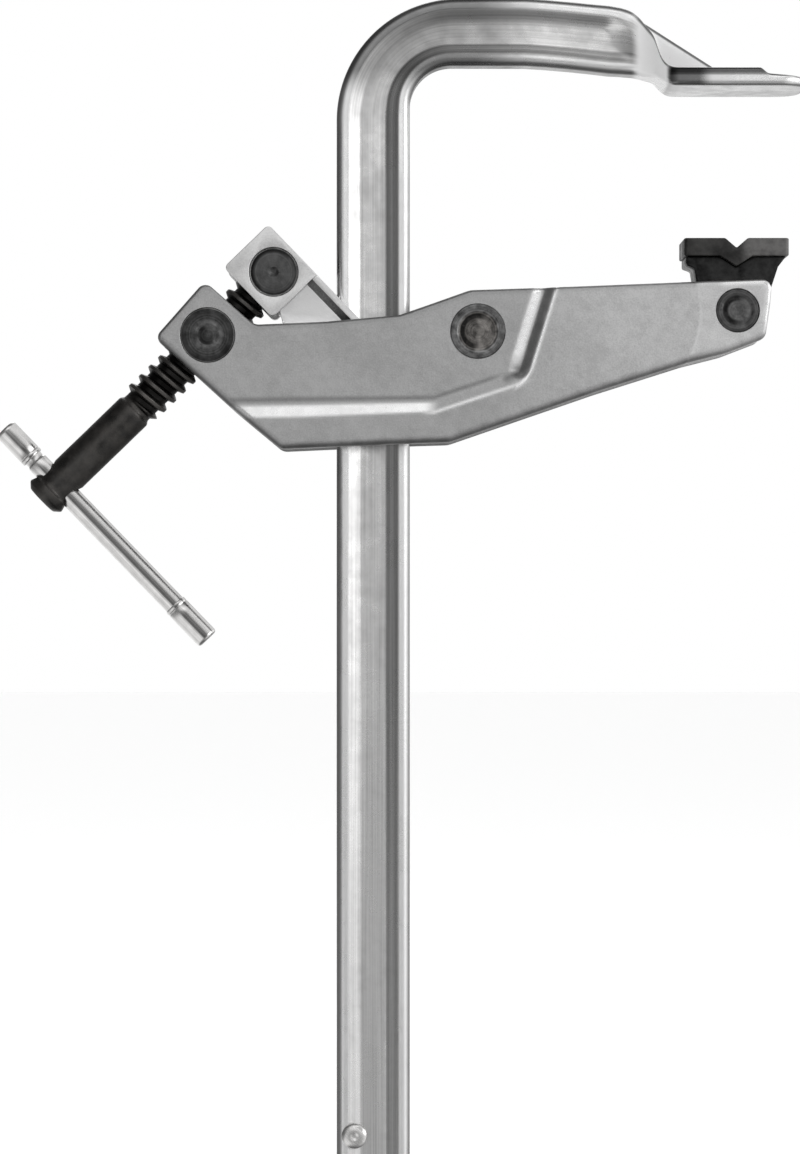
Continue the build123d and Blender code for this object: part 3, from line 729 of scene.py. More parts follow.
def makePlatedMaterial(name, paintedReflection):
    # bright plating with fine lines along the bar; with a painted reflection it is darker where it faces the
    # viewer, as a mirror of a dark room
    material, tree, shader, place = newMaterial(name, Metallic=1.0)
    turn = math.atan2(across.y, across.x) - math.pi / 2
    laid = addNode(tree, "ShaderNodeMapping", {"Vector": place, "Rotation": (0.0, turn, 0.0)})
    lines = placedGroup(tree, drawnLines, {"Vector": laid.outputs[0], "Across": 1600.0, "Lengthwise": 30.0})
    grain = placedGroup(tree, forgedGrain, {"Vector": place, "Dents": 300.0, "Blotches": 110.0})
    tone = maths(tree, "MULTIPLY_ADD", lines["Lines"], 0.5, both(tree, grain["Tone"], 0.5))
    tone = mapped(tree, tone, noiseLow, noiseHigh, 0.0, 1.0)
    base = mixedColour(tree, tone, grey(0.66, 0.01), grey(0.92, 0.01))
    if paintedReflection:
        # painted reflection of a dark room where the surface faces the viewer
        facing = addNode(tree, "ShaderNodeLayerWeight", {"Blend": 0.5}).outputs["Facing"]
        base = scaled(tree, base, curveNode(tree, facing, paintedReflectionLevels))
    tree.links.new(base, shader.inputs["Base Color"])
    tree.links.new(mapped(tree, tone, 0.0, 1.0, 0.30, 0.18), shader.inputs["Roughness"])
    bumped(tree, shader, lines["Height"], 0.00002, Strength=0.5)
    return material


def makeInnerMaterial(name, dark, light):
    material, tree, shader, place = newMaterial(name, Metallic=1.0)
    grain = placedGroup(tree, forgedGrain, {"Vector": place, "Dents": 500.0, "Blotches": 160.0})
    wear = placedGroup(tree, edgeWear, {"Vector": place, "Width": 0.0003, "Gain": 2.0})
    tone = mapped(tree, grain["Tone"], noiseLow, noiseHigh, 0.0, 1.0)
    base = mixedColour(tree, tone, dark, light)
    tree.links.new(mixedColour(tree, wear["Mask"], base, grey(0.8)), shader.inputs["Base Color"])
    tree.links.new(mapped(tree, tone, 0.0, 1.0, 0.42, 0.26), shader.inputs["Roughness"])
    bumped(tree, shader, grain["Height"], 0.0001, Strength=0.6)
    return material


# the lighter outermost zones of the nut, thrust and rivet ends are painted light over their shaded rims
pinLooks = {
    "nutEnd": {
        "centre": layout["nut"],
        "zones": [
            (0, 0.09), (1.6, 0.05), (2.8, 0.10), (4.6, 0.13), (6.2, 0.08), (7.6, 0.06), (8.8, 0.045),
            (9.5, 0.04), (9.9, 0.28),
        ],
        "warmth": 0.0, "mottle": 0.45, "arc": ((2.2, 3.6), 205, 0.85), "roughness": (0.34, 0.5),
    },
    "thrustEnd": {
        "centre": layout["thrust"],
        "zones": [(0, 0.10), (2.0, 0.115), (6.5, 0.115), (7.4, 0.10), (8.0, 0.05), (8.3, 0.04), (8.7, 0.7)],
        "warmth": 0.0, "mottle": 0.2, "arc": ((7.2, 8.3), 140, 0.8), "roughness": (0.38, 0.52),
    },
    "padPinEnd": {
        "centre": layout["padPin"],
        "zones": [(0, 0.12), (3.0, 0.15), (4.2, 0.13), (5.2, 0.10), (6.4, 0.11), (7.4, 0.09), (8.2, 0.075)],
        "warmth": 0.0, "mottle": 0.3, "arc": ((3.6, 5.4), 170, 0.9), "roughness": (0.34, 0.5),
    },
    "peenedRivet": {
        "centre": layout["pivot"],
        "zones": [(0, 0.19), (3.4, 0.18), (4.6, 0.16), (6.6, 0.16), (7.6, 0.19), (9.2, 0.14), (9.8, 0.16)],
        "warmth": 0.05, "mottle": 0.6, "arc": ((4.8, 6.6), 165, 0.95), "roughness": (0.36, 0.52),
    },
}
railZinc = makeRailMaterial()
leverZinc = makeForgedMaterial(leverLook, True)
armZinc = makeForgedMaterial(armLook)
armPaintedShade = makeForgedMaterial(shadedFlankLook)
blackOxide = makeBlackMaterial(blackLook)
blackPlate = makeBlackMaterial(plateLook)
blackSaddle = makeBlackMaterial(saddleLook)
brightPlate = makePlatedMaterial("brightPlate", True)
domedPlate = makePlatedMaterial("domedPlate", False)
innerSteel = makeInnerMaterial("groundSteel", grey(0.40), grey(0.58))
bronze = makeInnerMaterial("bushBronze", (0.46, 0.29, 0.12, 1.0), (0.64, 0.44, 0.20, 1.0))
nutSteel, thrustSteel, padPinSteel, rivetSteel = (
    makePinMaterial(name, look) for name, look in pinLooks.items()
)
print("materials made")

# rail with its forged jaw
railSizes = {
    "halfWidth": 13.5,
    "halfDepth": 6.5,
    "webHalf": 4.6,
    "slopeEnd": 9.2,
    "recess": 2.2,
    "corner": 2.7,
    "outerBend": 45.0,
    "innerBend": 15.2,
    "armTop": 33.7,
    "armUnderside": 8.8,
    "rowStep": 1.5,
    "bendRows": 45,
    "footChamfer": 0.9,
    "forging": 0.035,
}
# stations of the arm and the neck: place, top, underside, half depth and corner radius
jawStations = [
    (-102.2, 33.7, 8.8, 6.5, 2.7),
    (-90.0, 33.85, 8.8, 6.5, 2.7),
    (-77.5, 33.8, 8.75, 6.5, 2.7),
    (-70.0, 33.3, 8.3, 6.5, 2.7),
    (-62.0, 32.6, 7.6, 6.5, 2.7),
    (-55.0, 31.9, 6.9, 6.5, 2.7),
    (-46.5, 31.1, 5.9, 6.5, 2.7),
    (-42.0, 30.3, 5.7, 6.5, 2.7),
    (-39.5, 29.5, 5.5, 6.6, 2.7),
    (-37.6, 28.6, 5.4, 6.8, 2.7),
    (-35.8, 27.1, 5.1, 7.1, 2.7),
    (-34.3, 25.4, 4.8, 7.6, 2.7),
    (-33.0, 23.6, 4.5, 8.2, 2.6),
    (-31.6, 21.8, 4.3, 9.1, 2.5),
    (-30.3, 20.0, 4.1, 10.2, 2.4),
    (-29.4, 17.6, 3.9, 11.2, 2.2),
    (-28.8, 15.0, 3.6, 12.1, 2.0),
    (-28.1, 12.5, 3.1, 13.1, 1.8),
    (-27.2, 10.3, 2.4, 14.2, 1.6),
    (-26.2, 8.7, 1.5, 15.3, 1.5),
    (-25.0, 7.7, 0.8, 16.4, 1.5),
    (-23.6, 7.0, 0.25, 17.3, 1.5),
    (-22.0, 6.75, 0.05, 17.85, 1.5),
    (-19.5, 6.7, 0.0, 18.0, 1.5),
]
jawSizes = {
    "end": 26.0,
    "halfWidth": 18.0,
    "cornerRadius": 10.0,
    "edge": 1.5,
    "topLine": [(-19.5, 6.7), (8.2, 6.7), (8.9, 6.5), (11.0, 4.65), (11.6, 4.5), (26.0, 3.4)],
    "ribTop": 1.75,
    "ribFoot": 3.3,
    "ribBack": (-33.0, 24.9),
    "ribFront": (-4.5, 6.7),
    "ribReach": 3.6,
    "channelEnd": (-46.5, -35.5),
    "channelSlant": 0.43,
    "stationStep": 0.7,
}


def sectionPlan():
    # the rail's section as points that also fit a flat bar. Each has its width and depth as
    # shares of the corners' centres, the way it goes round a corner, and the channel there
    sizes = railSizes
    inner = sizes["halfWidth"] - sizes["corner"]
    reach = jawSizes["ribReach"]
    arc = [math.radians(angle) for angle in (15, 30, 45, 60, 75)]
    near = [0.0, 0.9, 1.6, 2.0, 2.25, 2.5, 2.8, 3.1, reach]
    side = [(d, 0.0) for d in near] + [(reach, 0.33), (reach, 0.66)]
    side = [(-d, -f) for d, f in reversed(side[1:])] + side
    web, rim, recess = sizes["webHalf"], sizes["slopeEnd"], sizes["recess"]
    slope = [
        (rim + 0.7, 0.0),
        (rim + 0.2, 0.02),
        (rim - 0.3, 0.14),
        (rim - 0.8, 0.36),
        (6.9, 1.1),
        (web + 0.9, recess - 0.42),
        (web + 0.2, recess - 0.13),
        (web - 0.5, recess),
        (2.0, recess),
        (0.0, recess),
    ]
    face = [(width / inner, depth) for width, depth in slope]
    face += [(-width, depth) for width, depth in reversed(face[:-1])]
    # inner side and the face away from the viewer; the other two sides are these, turned round
    plan = [(1.0, d, f, 1.0, 0.0, 0.0) for d, f in side]
    plan.append((1.0, reach, 1.0, 1.0, 0.0, 0.0))
    plan += [(1.0, reach, 1.0, math.cos(a), math.sin(a), 0.0) for a in arc]
    plan.append((1.0, reach, 1.0, 0.0, 1.0, 0.0))
    plan += [(w, reach, 1.0, 0.0, 1.0, r) for w, r in face]
    plan.append((-1.0, reach, 1.0, 0.0, 1.0, 0.0))
    plan += [(-1.0, reach, 1.0, -math.sin(a), math.cos(a), 0.0) for a in arc]
    plan.append((-1.0, reach, 1.0, -1.0, 0.0, 0.0))
    return plan + [(*(-value for value in item[:5]), item[5]) for item in plan]


def sectionPoints(plan, halfWidth, depthAt, corner, filled, insetLimit=99.0):
    # width to the inner side and depth away from the viewer of every point. depthAt gives
    # the half depth that is left where the edge's rounding has come in by an inset, and
    # filled the share of the channel that is closed at a width
    points = []
    for width, near, far, wayWidth, wayDepth, recess in plan:
        inset = min(corner * (1 - abs(wayDepth)), insetLimit)
        sine = 1 - inset / corner
        w = width * (halfWidth - corner)
        if abs(wayWidth) > 0.001:
            w += math.copysign(math.sqrt(max(0.0, 1 - sine * sine)), wayWidth) * corner
        depth = depthAt(inset)
        if abs(wayDepth) < 0.001:
            d = near + far * (depth - jawSizes["ribReach"])
        else:
            d = math.copysign(depth - recess * (1 - filled(w)), near)
        points.append((w, d))
    return points


def endTree(tree, geometry, material, out):
    whole = addNode(tree, "GeometryNodeRealizeInstances", {0: geometry}).outputs[0]
    coloured = addNode(tree, "GeometryNodeSetMaterial", {"Geometry": whole, "Material": material})
    tree.links.new(coloured.outputs[0], out.inputs[0])


def makeBarTree():
    # a section laid between two guides, row by row. A section point holds its share of the
    # half width, its depth, and the part of its width that belongs to the corner's rounding
    tree, inside, out = groupTree(
        "barBetweenGuides",
        "GeometryNodeTree",
        [
            ("Inner Guide", "NodeSocketObject", None),
            ("Outer Guide", "NodeSocketObject", None),
            ("Section", "NodeSocketObject", None),
            ("Rows", "NodeSocketInt", 100),
            ("Columns", "NodeSocketInt", 100),
            ("Corner Radius", number, 0.002),
            ("Material", "NodeSocketMaterial", None),
        ],
        [("Geometry", "NodeSocketGeometry")],
    )
    use = inside.outputs
    columns = maths(tree, "ADD", use["Columns"], 1.0)
    grid = addNode(tree, "GeometryNodeMeshGrid", {"Vertices X": use["Rows"], "Vertices Y": columns})
    index = addNode(tree, "GeometryNodeInputIndex").outputs[0]
    row = maths(tree, "FLOOR", maths(tree, "DIVIDE", maths(tree, "ADD", index, 0.5), columns))
    column = maths(tree, "SUBTRACT", index, both(tree, row, columns))
    column = maths(tree, "FLOORED_MODULO", column, use["Columns"])
    place = addNode(tree, "GeometryNodeInputPosition").outputs[0]

    def pointOf(guide, at):
        info = addNode(tree, "GeometryNodeObjectInfo", {"Object": use[guide]})
        inputs = {"Geometry": info.outputs["Geometry"], "Value": place, "Index": at}
        return addNode(tree, "GeometryNodeSampleIndex", inputs, data_type="FLOAT_VECTOR").outputs[0]

    inner, outer = pointOf("Inner Guide", row), pointOf("Outer Guide", row)
    parts = parted(tree, pointOf("Section", column))
    between = vectorMaths(tree, "SUBTRACT", inner, outer)
    half = both(tree, vectorMaths(tree, "LENGTH", between, output="Value"), 0.5)
    flat = maths(tree, "SUBTRACT", half, use["Corner Radius"])
    width = maths(tree, "MULTIPLY_ADD", parts["X"], flat, parts["Z"])
    middle = scaled(tree, vectorMaths(tree, "ADD", inner, outer), 0.5)
    inward = scaled(tree, vectorMaths(tree, "NORMALIZE", between), width)
    depth = addNode(tree, "ShaderNodeCombineXYZ", {"Y": parts["Y"]}).outputs[0]
    spot = vectorMaths(tree, "ADD", vectorMaths(tree, "ADD", middle, inward), depth)
    moved = addNode(tree, "GeometryNodeSetPosition", {"Geometry": grid.outputs["Mesh"], "Position": spot})
    endTree(tree, moved.outputs[0], use["Material"], out)
    return tree


def nodePiece(name, tree, values):
    # an object whose mesh the tree makes; inputs are set by their identifiers
    piece = newObject(name, bpy.data.meshes.new(name))
    modifier = piece.modifiers.new(name, "NODES")
    modifier.node_group = tree
    for item in tree.interface.items_tree:
        if item.item_type == "SOCKET" and item.in_out == "INPUT" and item.name in values:
            modifier[item.identifier] = values[item.name]
    bpy.context.view_layer.update()
    return piece


def polyCurve(name, points, closed):
    curve = bpy.data.curves.new(name, "CURVE")
    curve.dimensions = "3D"
    spline = curve.splines.new("POLY")
    spline.points.add(len(points) - 1)
    for item, place in zip(spline.points, points):
        item.co = (*(Vector(place) * millimetre), 1.0)
    spline.use_cyclic_u = closed
    return newObject(name, curve)


def innerReach(centre, spoke):
    # distance from the outer bend's centre along the spoke to the bar's inner side
    sizes = railSizes
    inner = Vector((layout["railInner"] + sizes["innerBend"], sizes["armUnderside"] - sizes["innerBend"]))
    offset = centre - inner
    middle = offset.dot(spoke)
    reach = math.sqrt(middle**2 - offset.length_squared + sizes["innerBend"] ** 2) - middle
    hit = centre + spoke * reach
    if hit.y < inner.y:
        return (layout["railInner"] - centre.x) / spoke.x
    if hit.x > inner.x:
        return (sizes["armUnderside"] - centre.y) / spoke.y
    return reach


def barGuides(stations):
    # inner and outer points from the foot, round the bend, to the neck
    sizes = railSizes
    centre = Vector((layout["railOuter"] + sizes["outerBend"], sizes["armTop"] - sizes["outerBend"]))
    pairs = []
    foot = layout["railFoot"] + sizes["footChamfer"]
    for z in np.linspace(foot, centre.y, math.ceil((centre.y - foot) / sizes["rowStep"]) + 1)[:-1]:
        pairs.append((Vector((layout["railInner"], z)), Vector((layout["railOuter"], z))))
    for step in range(sizes["bendRows"]):
        turn = math.pi / 2 * step / sizes["bendRows"]
        spoke = Vector((-math.cos(turn), math.sin(turn)))
        pairs.append((centre + spoke * innerReach(centre, spoke), centre + spoke * sizes["outerBend"]))
    for x, top, underside, *_ in stations:
        pairs.append((Vector((x, underside)), Vector((x, top))))
    return pairs


def railSection(plan, halfWidth, chamfer, corner):
    depthAt = lambda inset: railSizes["halfDepth"] - chamfer - inset
    return sectionPoints(plan, halfWidth, depthAt, corner, lambda width: 0.0)


def barRings(plan, stations):
    pairs = barGuides(stations)
    inner = polyCurve("innerGuide", [inSpace(pair[0], 0.0) for pair in pairs], False)
    outer = polyCurve("outerGuide", [inSpace(pair[1], 0.0) for pair in pairs], False)
    corner = railSizes["corner"]
    loop = railSection(plan, corner, 0.0, corner)
    section = polyCurve("barSection", [(item[0], d, w) for item, (w, d) in zip(plan, loop)], True)
    for spot, item in zip(section.data.splines[0].points, plan):
        spot.co.x = item[0]  # a share of the half width, so no length
    bar = nodePiece(
        "barBetweenGuides",
        makeBarTree(),
        {
            "Inner Guide": inner,
            "Outer Guide": outer,
            "Section": section,
            "Rows": len(pairs),
            "Columns": len(plan),
            "Corner Radius": corner * millimetre,
            "Material": railZinc,
        },
    )
    depsgraph = bpy.context.evaluated_depsgraph_get()
    mesh = bpy.data.meshes.new_from_object(bar.evaluated_get(depsgraph), depsgraph=depsgraph)
    points = [Vector(v.co) / millimetre for v in mesh.vertices]
    count = len(plan) + 1
    rings = [points[first : first + count - 1] for first in range(0, len(points), count)]
    for helper in (bar, inner, outer, section):
        bpy.data.objects.remove(helper)
    print("bar laid:", len(rings), "rows of", count - 1)
    return rings


def denseStations():
    # close stations of the arm and neck, evened out, and then those of the flat jaw
    places, *columns = zip(*jawStations)
    fine = np.arange(places[0], places[-1] + 0.01, 0.1)
    window = np.hanning(25)
    window /= window.sum()
    smooth = []
    for column in columns:
        line = np.interp(fine, places, column)
        smooth.append(np.convolve(np.pad(line, len(window) // 2, mode="edge"), window, mode="valid"))
    arm = []
    for x in np.arange(places[0], places[-1], jawSizes["stationStep"]):
        arm.append((float(x), *(float(np.interp(x, fine, column)) for column in smooth)))
    end, edge = jawSizes["end"], jawSizes["edge"]
    rest = list(np.arange(places[-1], 8.0, 1.5)) + list(np.arange(8.0, 12.4, 0.4))
    rest += list(np.arange(12.8, end - edge - 0.1, 0.6))
    rest += [end - edge * share for share in (1.0, 0.8, 0.6, 0.42, 0.27, 0.15, 0.07, 0.02, 0.0)]
    tops = np.array(jawSizes["topLine"])
    jaw = []
    for x in rest:
        spread = np.interp(x + np.array([-0.5, -0.25, 0.0, 0.25, 0.5]), tops[:, 0], tops[:, 1])
        jaw.append((float(x), float(spread.mean()), 0.0, jawSizes["halfWidth"], edge))
    return arm, jaw


def jawDepth(x, halfDepth):
    # half depth of the jaw at x for an inset edge, rounded in plan towards the tip
    radius, end = jawSizes["cornerRadius"], jawSizes["end"]

    def depthAt(inset):
        past = x - (end - radius)
        if past <= 0:
            return halfDepth - inset
        left = max(0.0, (radius - inset) ** 2 - past**2)
        return halfDepth - radius + math.sqrt(left)

    return depthAt


def jawRings(plan, stations):
    (backX, backZ), (frontX, frontZ) = jawSizes["ribBack"], jawSizes["ribFront"]
    channelStart, channelEnd = jawSizes["channelEnd"]
    ribTop, ribFoot = jawSizes["ribTop"], jawSizes["ribFoot"]
    rings = []
    for x, top, bottom, halfDepth, corner in stations:
        halfWidth = (top - bottom) / 2
        filled = lambda w: float(smoothStep(channelStart, channelEnd, x - jawSizes["channelSlant"] * w))
        limit = jawSizes["end"] - x
        points = sectionPoints(plan, halfWidth, jawDepth(x, halfDepth), corner, filled, limit)
        line = frontZ + (x - frontX) * (backZ - frontZ) / (backX - frontX)
        ring = []
        for w, d in points:
            place = Vector((x, d, (top + bottom) / 2 - w))
            if w < -0.5 * halfWidth and abs(d) < jawSizes["ribReach"] and line > place.z:
                share = 1 - float(smoothStep(ribTop, ribFoot, abs(d)))
                start = float(smoothStep(backX - 2.5, backX, x))
                place.z += (line - 0.3 * (d / ribTop) ** 4 * share - place.z) * share * start
            ring.append(place)
        rings.append(ring)
    return rings


def makeRail():
    sizes = railSizes
    plan = sectionPlan()
    count = len(plan)
    arm, jaw = denseStations()
    straight = [item for item in arm if item[0] < jawSizes["channelEnd"][0] - 6]
    # chamfered foot, below the first row
    chamfer = sizes["footChamfer"]
    foot = railSection(plan, sizes["halfWidth"] - chamfer, chamfer, sizes["corner"] - 0.5)
    railMiddle = (layout["railOuter"] + layout["railInner"]) / 2
    rings = [[Vector((railMiddle + w, d, layout["railFoot"])) for w, d in foot]]
    rings += barRings(plan, straight)
    rings += jawRings(plan, arm[len(straight) :] + jaw)
    # how far along and across the bar each point lies, for the rolling lines
    loop = railSection(plan, sizes["halfWidth"], 0.0, sizes["corner"])
    vertices, faces, rolling = [], [], []
    length = 0.0
    before = None
    for ring in rings:
        middle = sum(ring, Vector()) / count
        length += (middle - before).length if before else 0.0
        before = middle
        for place, (w, d) in zip(ring, loop):
            # rolled and forged steel is never quite flat
            wave = noise.noise(Vector((w * 0.12, d * 0.12, length * 0.045)))
            wave += 0.4 * noise.noise(Vector((w * 0.5, d * 0.5 + 7, length * 0.16)))
            inward = Vector((middle.x, 0.0, middle.z)) - place
            vertices.append(place + inward.normalized() * (0.5 + 0.5 * wave) * sizes["forging"])
            rolling.append((w * millimetre, d * millimetre, length * millimetre))
    for index in range(len(rings) - 1):
        faces.extend(loopStrip(index * count, (index + 1) * count, count))
    for index in (0, len(rings) - 1):
        pole = len(vertices)
        vertices.append(sum(rings[index], Vector()) / count)
        rolling.append((0.0, 0.0, 0.0))
        first = index * count
        faces.extend((first + i, first + (i + 1) % count, pole) for i in range(count))
    piece = newPiece("railAndJaw", vertices, faces, railZinc, 50.0, {"rolling": rolling})
    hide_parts("rail")
    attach(piece, "rail")


makeRail()
print("rail made")

# lever halves
leverSizes = {
    "upEdge": 1.3,
    "downEdge": 2.6,
    "innerEdge": 0.5,
    "edgeStart": 1.4,
    "bossDrop": 0.18,
    "panelDepth": 1.2,
    "panelSlope": 4.6,
    "panelTilt": 0.016,
    "panelFlare": 1.2,
    "grooveDepth": 1.9,
    "groovePanelSide": 4.0,
    "grooveBodySide": 3.4,
    "grooveFade": 3.5,
    "soften": 0.55,
    "grid": 0.8,
    "forging": 0.07,
    "holePoints": 72,
    "holeEdge": 0.16,
    "innerHoleEdge": 0.25,
    "noseLine": -13.4,
    "noseBow": 0.014,
    "middleGap": 0.02,
    "seam": 0.4,
    "boxWall": 5.0,
    "boxInset": 1.8,
    "boxRear": 16.9,
    "boxFront": -20.0,
}
nut, pivot, padPin = layout["nut"], layout["pivot"], layout["padPin"]
# corners of the outline, each with its radius
leverCorners = [
    (turnedFrom(nut, -14.7, -12.8), 3.2),
    (turnedFrom(nut, 13.0, -15.0), 3.4),
    (turnedFrom(nut, 14.9, 9.1), 5.0),
    (Vector((layout["railOuter"] - 3.2, pivot.y + 3.6)), 4.0),
    (Vector((layout["railInner"] - 3.7, pivot.y + 6.0)), 6.0),
    (beside(pivot, -2.8, 15.1), 8.0),
    (beside(pivot, 34.3, 16.3), 20.0),
    (beside(padPin, 12.7, 11.7), 4.5),
    (beside(padPin, 12.0, 2.9), 6.0),
    (beside(padPin, 10.2, -10.0), 3.5),
    (beside(padPin, -4.4, -15.6), 20.0),
    (beside(padPin, -19.0, -19.3), 20.0),
    (beside(pivot, 43.4, -22.1), 25.0),
    (beside(pivot, -10.6, -40.7), 9.0),
    (beside(pivot, -30.0, -41.3), 15.0),
    (beside(nut, 26.8, -41.8), 4.5),
    (beside(nut, 9.8, -27.7), 8.0),
]
leverHoles = [(pivot, 10.0), (nut, 10.06), (padPin, 8.0)]
# where the panel's lower slope bends up, and where it ends
panelFoot = [beside(pivot, -16.1, -25.0), beside(pivot, 10.9, -16.0)]
grooveTop = beside(pivot, 25.9, 20.4)
grooveFoot = beside(pivot, 14.0, -17.9)
grooveTail = [beside(pivot, 15.0, -13.6), beside(pivot, 13.6, -15.6), beside(pivot, 10.6, -17.2)]
# tone of the body towards the nose: place and factor
bodyTones = [(-95.0, 1.0), (-72.0, 1.1), (-50.0, 1.26), (-12.0, 1.28), (10.0, 1.28)]


def leverPlaces(points):
    # per point: how far right of the groove and above its foot, and how far below the slope's top
    x, z = points[:, 0], points[:, 1]
    way = (grooveFoot - grooveTop).normalized()
    fromTop = points - np.array(tuple(grooveTop))
    right = fromTop[:, 0] * -way.y + fromTop[:, 1] * way.x
    beyond = (grooveFoot - grooveTop).length - (fromTop[:, 0] * way.x + fromTop[:, 1] * way.y)
    bend, last = panelFoot
    rise = (last.y - bend.y) / (last.x - bend.x)
    aside = x - bend.x
    foot = bend.y + np.maximum(0.0, aside) * rise + np.minimum(0.0, aside) * leverSizes["panelTilt"]
    width = leverSizes["panelSlope"] + leverSizes["panelFlare"] * np.clip(-aside / 50, 0, 1)
    return right, beyond, (foot - z) / width, aside


def leverHeight(points):
    # the outer face's height over the clamp's middle plane, before softening
    sizes = leverSizes
    x, z = points[:, 0], points[:, 1]
    right, beyond, drop, _ = leverPlaces(points)
    below = np.clip(drop, 0, 1)
    body = np.clip(right / sizes["grooveBodySide"], 0, 1)
    around = np.clip(aroundFoot(right, drop), 0, 1)
    dip = np.where(right < 0, 1 + right / sizes["groovePanelSide"], 1 - right / sizes["grooveBodySide"])
    dip = np.clip(dip, 0, 1) * smoothStep(0.0, sizes["grooveFade"], beyond) * (1 - below)
    height = layout["panelFace"] + sizes["panelDepth"] * around - sizes["grooveDepth"] * dip
    # the body is a little lower than the boss at the pad pin
    height -= sizes["bossDrop"] * (1 - noseBoss(x, z)) * body
    return height


def aroundFoot(right, drop):
    # 0 on the panel and 1 on the body, rounded where the groove's foot meets the slope
    return np.hypot(np.maximum(right / leverSizes["grooveBodySide"], 0), np.maximum(drop, 0))


def noseReach(x, z):
    # how far past the bowed line of the boss
    return x + leverSizes["noseBow"] * (z - padPin.y) ** 2 - leverSizes["noseLine"]


def noseBoss(x, z):
    return smoothStep(-0.2, 0.8, noseReach(x, z))


def hump(value, centre, reach):
    # 1 at the centre, falling smoothly to 0 at the reach
    return 1 - smoothStep(0.0, reach, np.abs(value - centre))


def leverSkin(points, outline):
    # painted highlight, painted shade and tone of every point
    points = asArray(points)
    x, z = points[:, 0], points[:, 1]
    right, beyond, drop, aside = leverPlaces(points)
    sizes = leverSizes
    inGroove = smoothStep(0.5, 6.0, beyond) * (drop < 0.1)
    flank = hump(right, -sizes["groovePanelSide"] * 0.54, 3.0) * smoothStep(3.0, 12.0, beyond) * (drop < 0.1)
    rim = hump(aroundFoot(right, drop), 1.22, 0.38) * smoothStep(-0.5, 1.5, right)
    slope = smoothStep(0.12, 0.35, drop) * (1 - smoothStep(0.85, 1.1, drop))
    slope *= 1 - smoothStep(-4.0, 3.0, aside)
    slopeRim = hump(drop, 1.05, 0.26) * smoothStep(-6.0, 0.0, aside) * (1 - smoothStep(30.0, 38.0, aside))
    boss = noseBoss(x, z)
    bossLine = hump(noseReach(x, z), 0.0, 0.9)
    shadow = hump(drop, -0.14, 0.32) * (1 - smoothStep(20.0, 27.0, aside))
    dark = hump(right, sizes["grooveBodySide"] * 0.5, 2.3) * inGroove
    tail = hump(segmentDistance(points, grooveTail, False), 0.0, 2.7)
    # painted shade along the edges, most of it along the upper ones and those facing back along the screw
    normals = outwardNormals(outline)
    up, back = asArray(normals)[:, 1], -asArray(normals) @ np.array(tuple(along))
    edgeShade = 0.1 * np.maximum(0, -up) + 0.32 * np.maximum(0, up) + 0.85 * np.maximum(0, back) ** 3
    away = segmentDistance(points, outline)
    nearest = ((points[:, None, :] - asArray(outline)[None, :, :]) ** 2).sum(2).argmin(1)
    edge = hump(away, 0.6, 2.0) * edgeShade[nearest] * (1 - boss)
    noseRim = hump(away, 1.2, 1.8) * smoothStep(-8.0, -4.0, x) * (z > padPin.y - 4)
    # painted highlights: the groove's flank and rim, the panel's slope and its rim, the boss's line and the
    # nose's rim
    wearAndHighlight = np.maximum.reduce([flank, rim, slope * 0.75, slopeRim * 0.65, bossLine * 0.45, noseRim * 0.7])
    # painted shade: under the slope's top, the groove's far flank and tail, and the edges
    paintedShade = np.maximum.reduce([shadow * 0.55, dark * 0.4, tail * 0.6, edge])
    places, tones = zip(*bodyTones)
    onBody = np.maximum(smoothStep(0.0, 3.0, right), smoothStep(0.9, 1.3, drop))
    tone = 1 + (np.interp(x, places, tones) - 1) * onBody
    tone *= 1 + 0.14 * boss
    return np.column_stack([np.clip(wearAndHighlight, 0, 1), np.clip(paintedShade, 0, 1), tone])


def softHeight(points, seed):
    points = asArray(points)
    total = leverHeight(points) * 2
    for turn in range(8):
        angle = turn * math.pi / 4
        shift = np.array([math.cos(angle), math.sin(angle)]) * leverSizes["soften"]
        total += leverHeight(points + shift)
    height = total / 10
    for index, (x, z) in enumerate(points):
        wave = noise.noise(Vector((x * 0.075, z * 0.075, seed)))
        wave += 0.45 * noise.noise(Vector((x * 0.3, z * 0.3, seed + 5)))
        height[index] += (wave - 1.0) * 0.5 * leverSizes["forging"]
    return height


def offHoles(points, margin):
    # which points lie beyond every hole's edge by a margin
    clear = np.ones(len(points), bool)
    for centre, radius in leverHoles:
        clear &= np.hypot(points[:, 0] - centre.x, points[:, 1] - centre.y) > radius + margin
    return clear


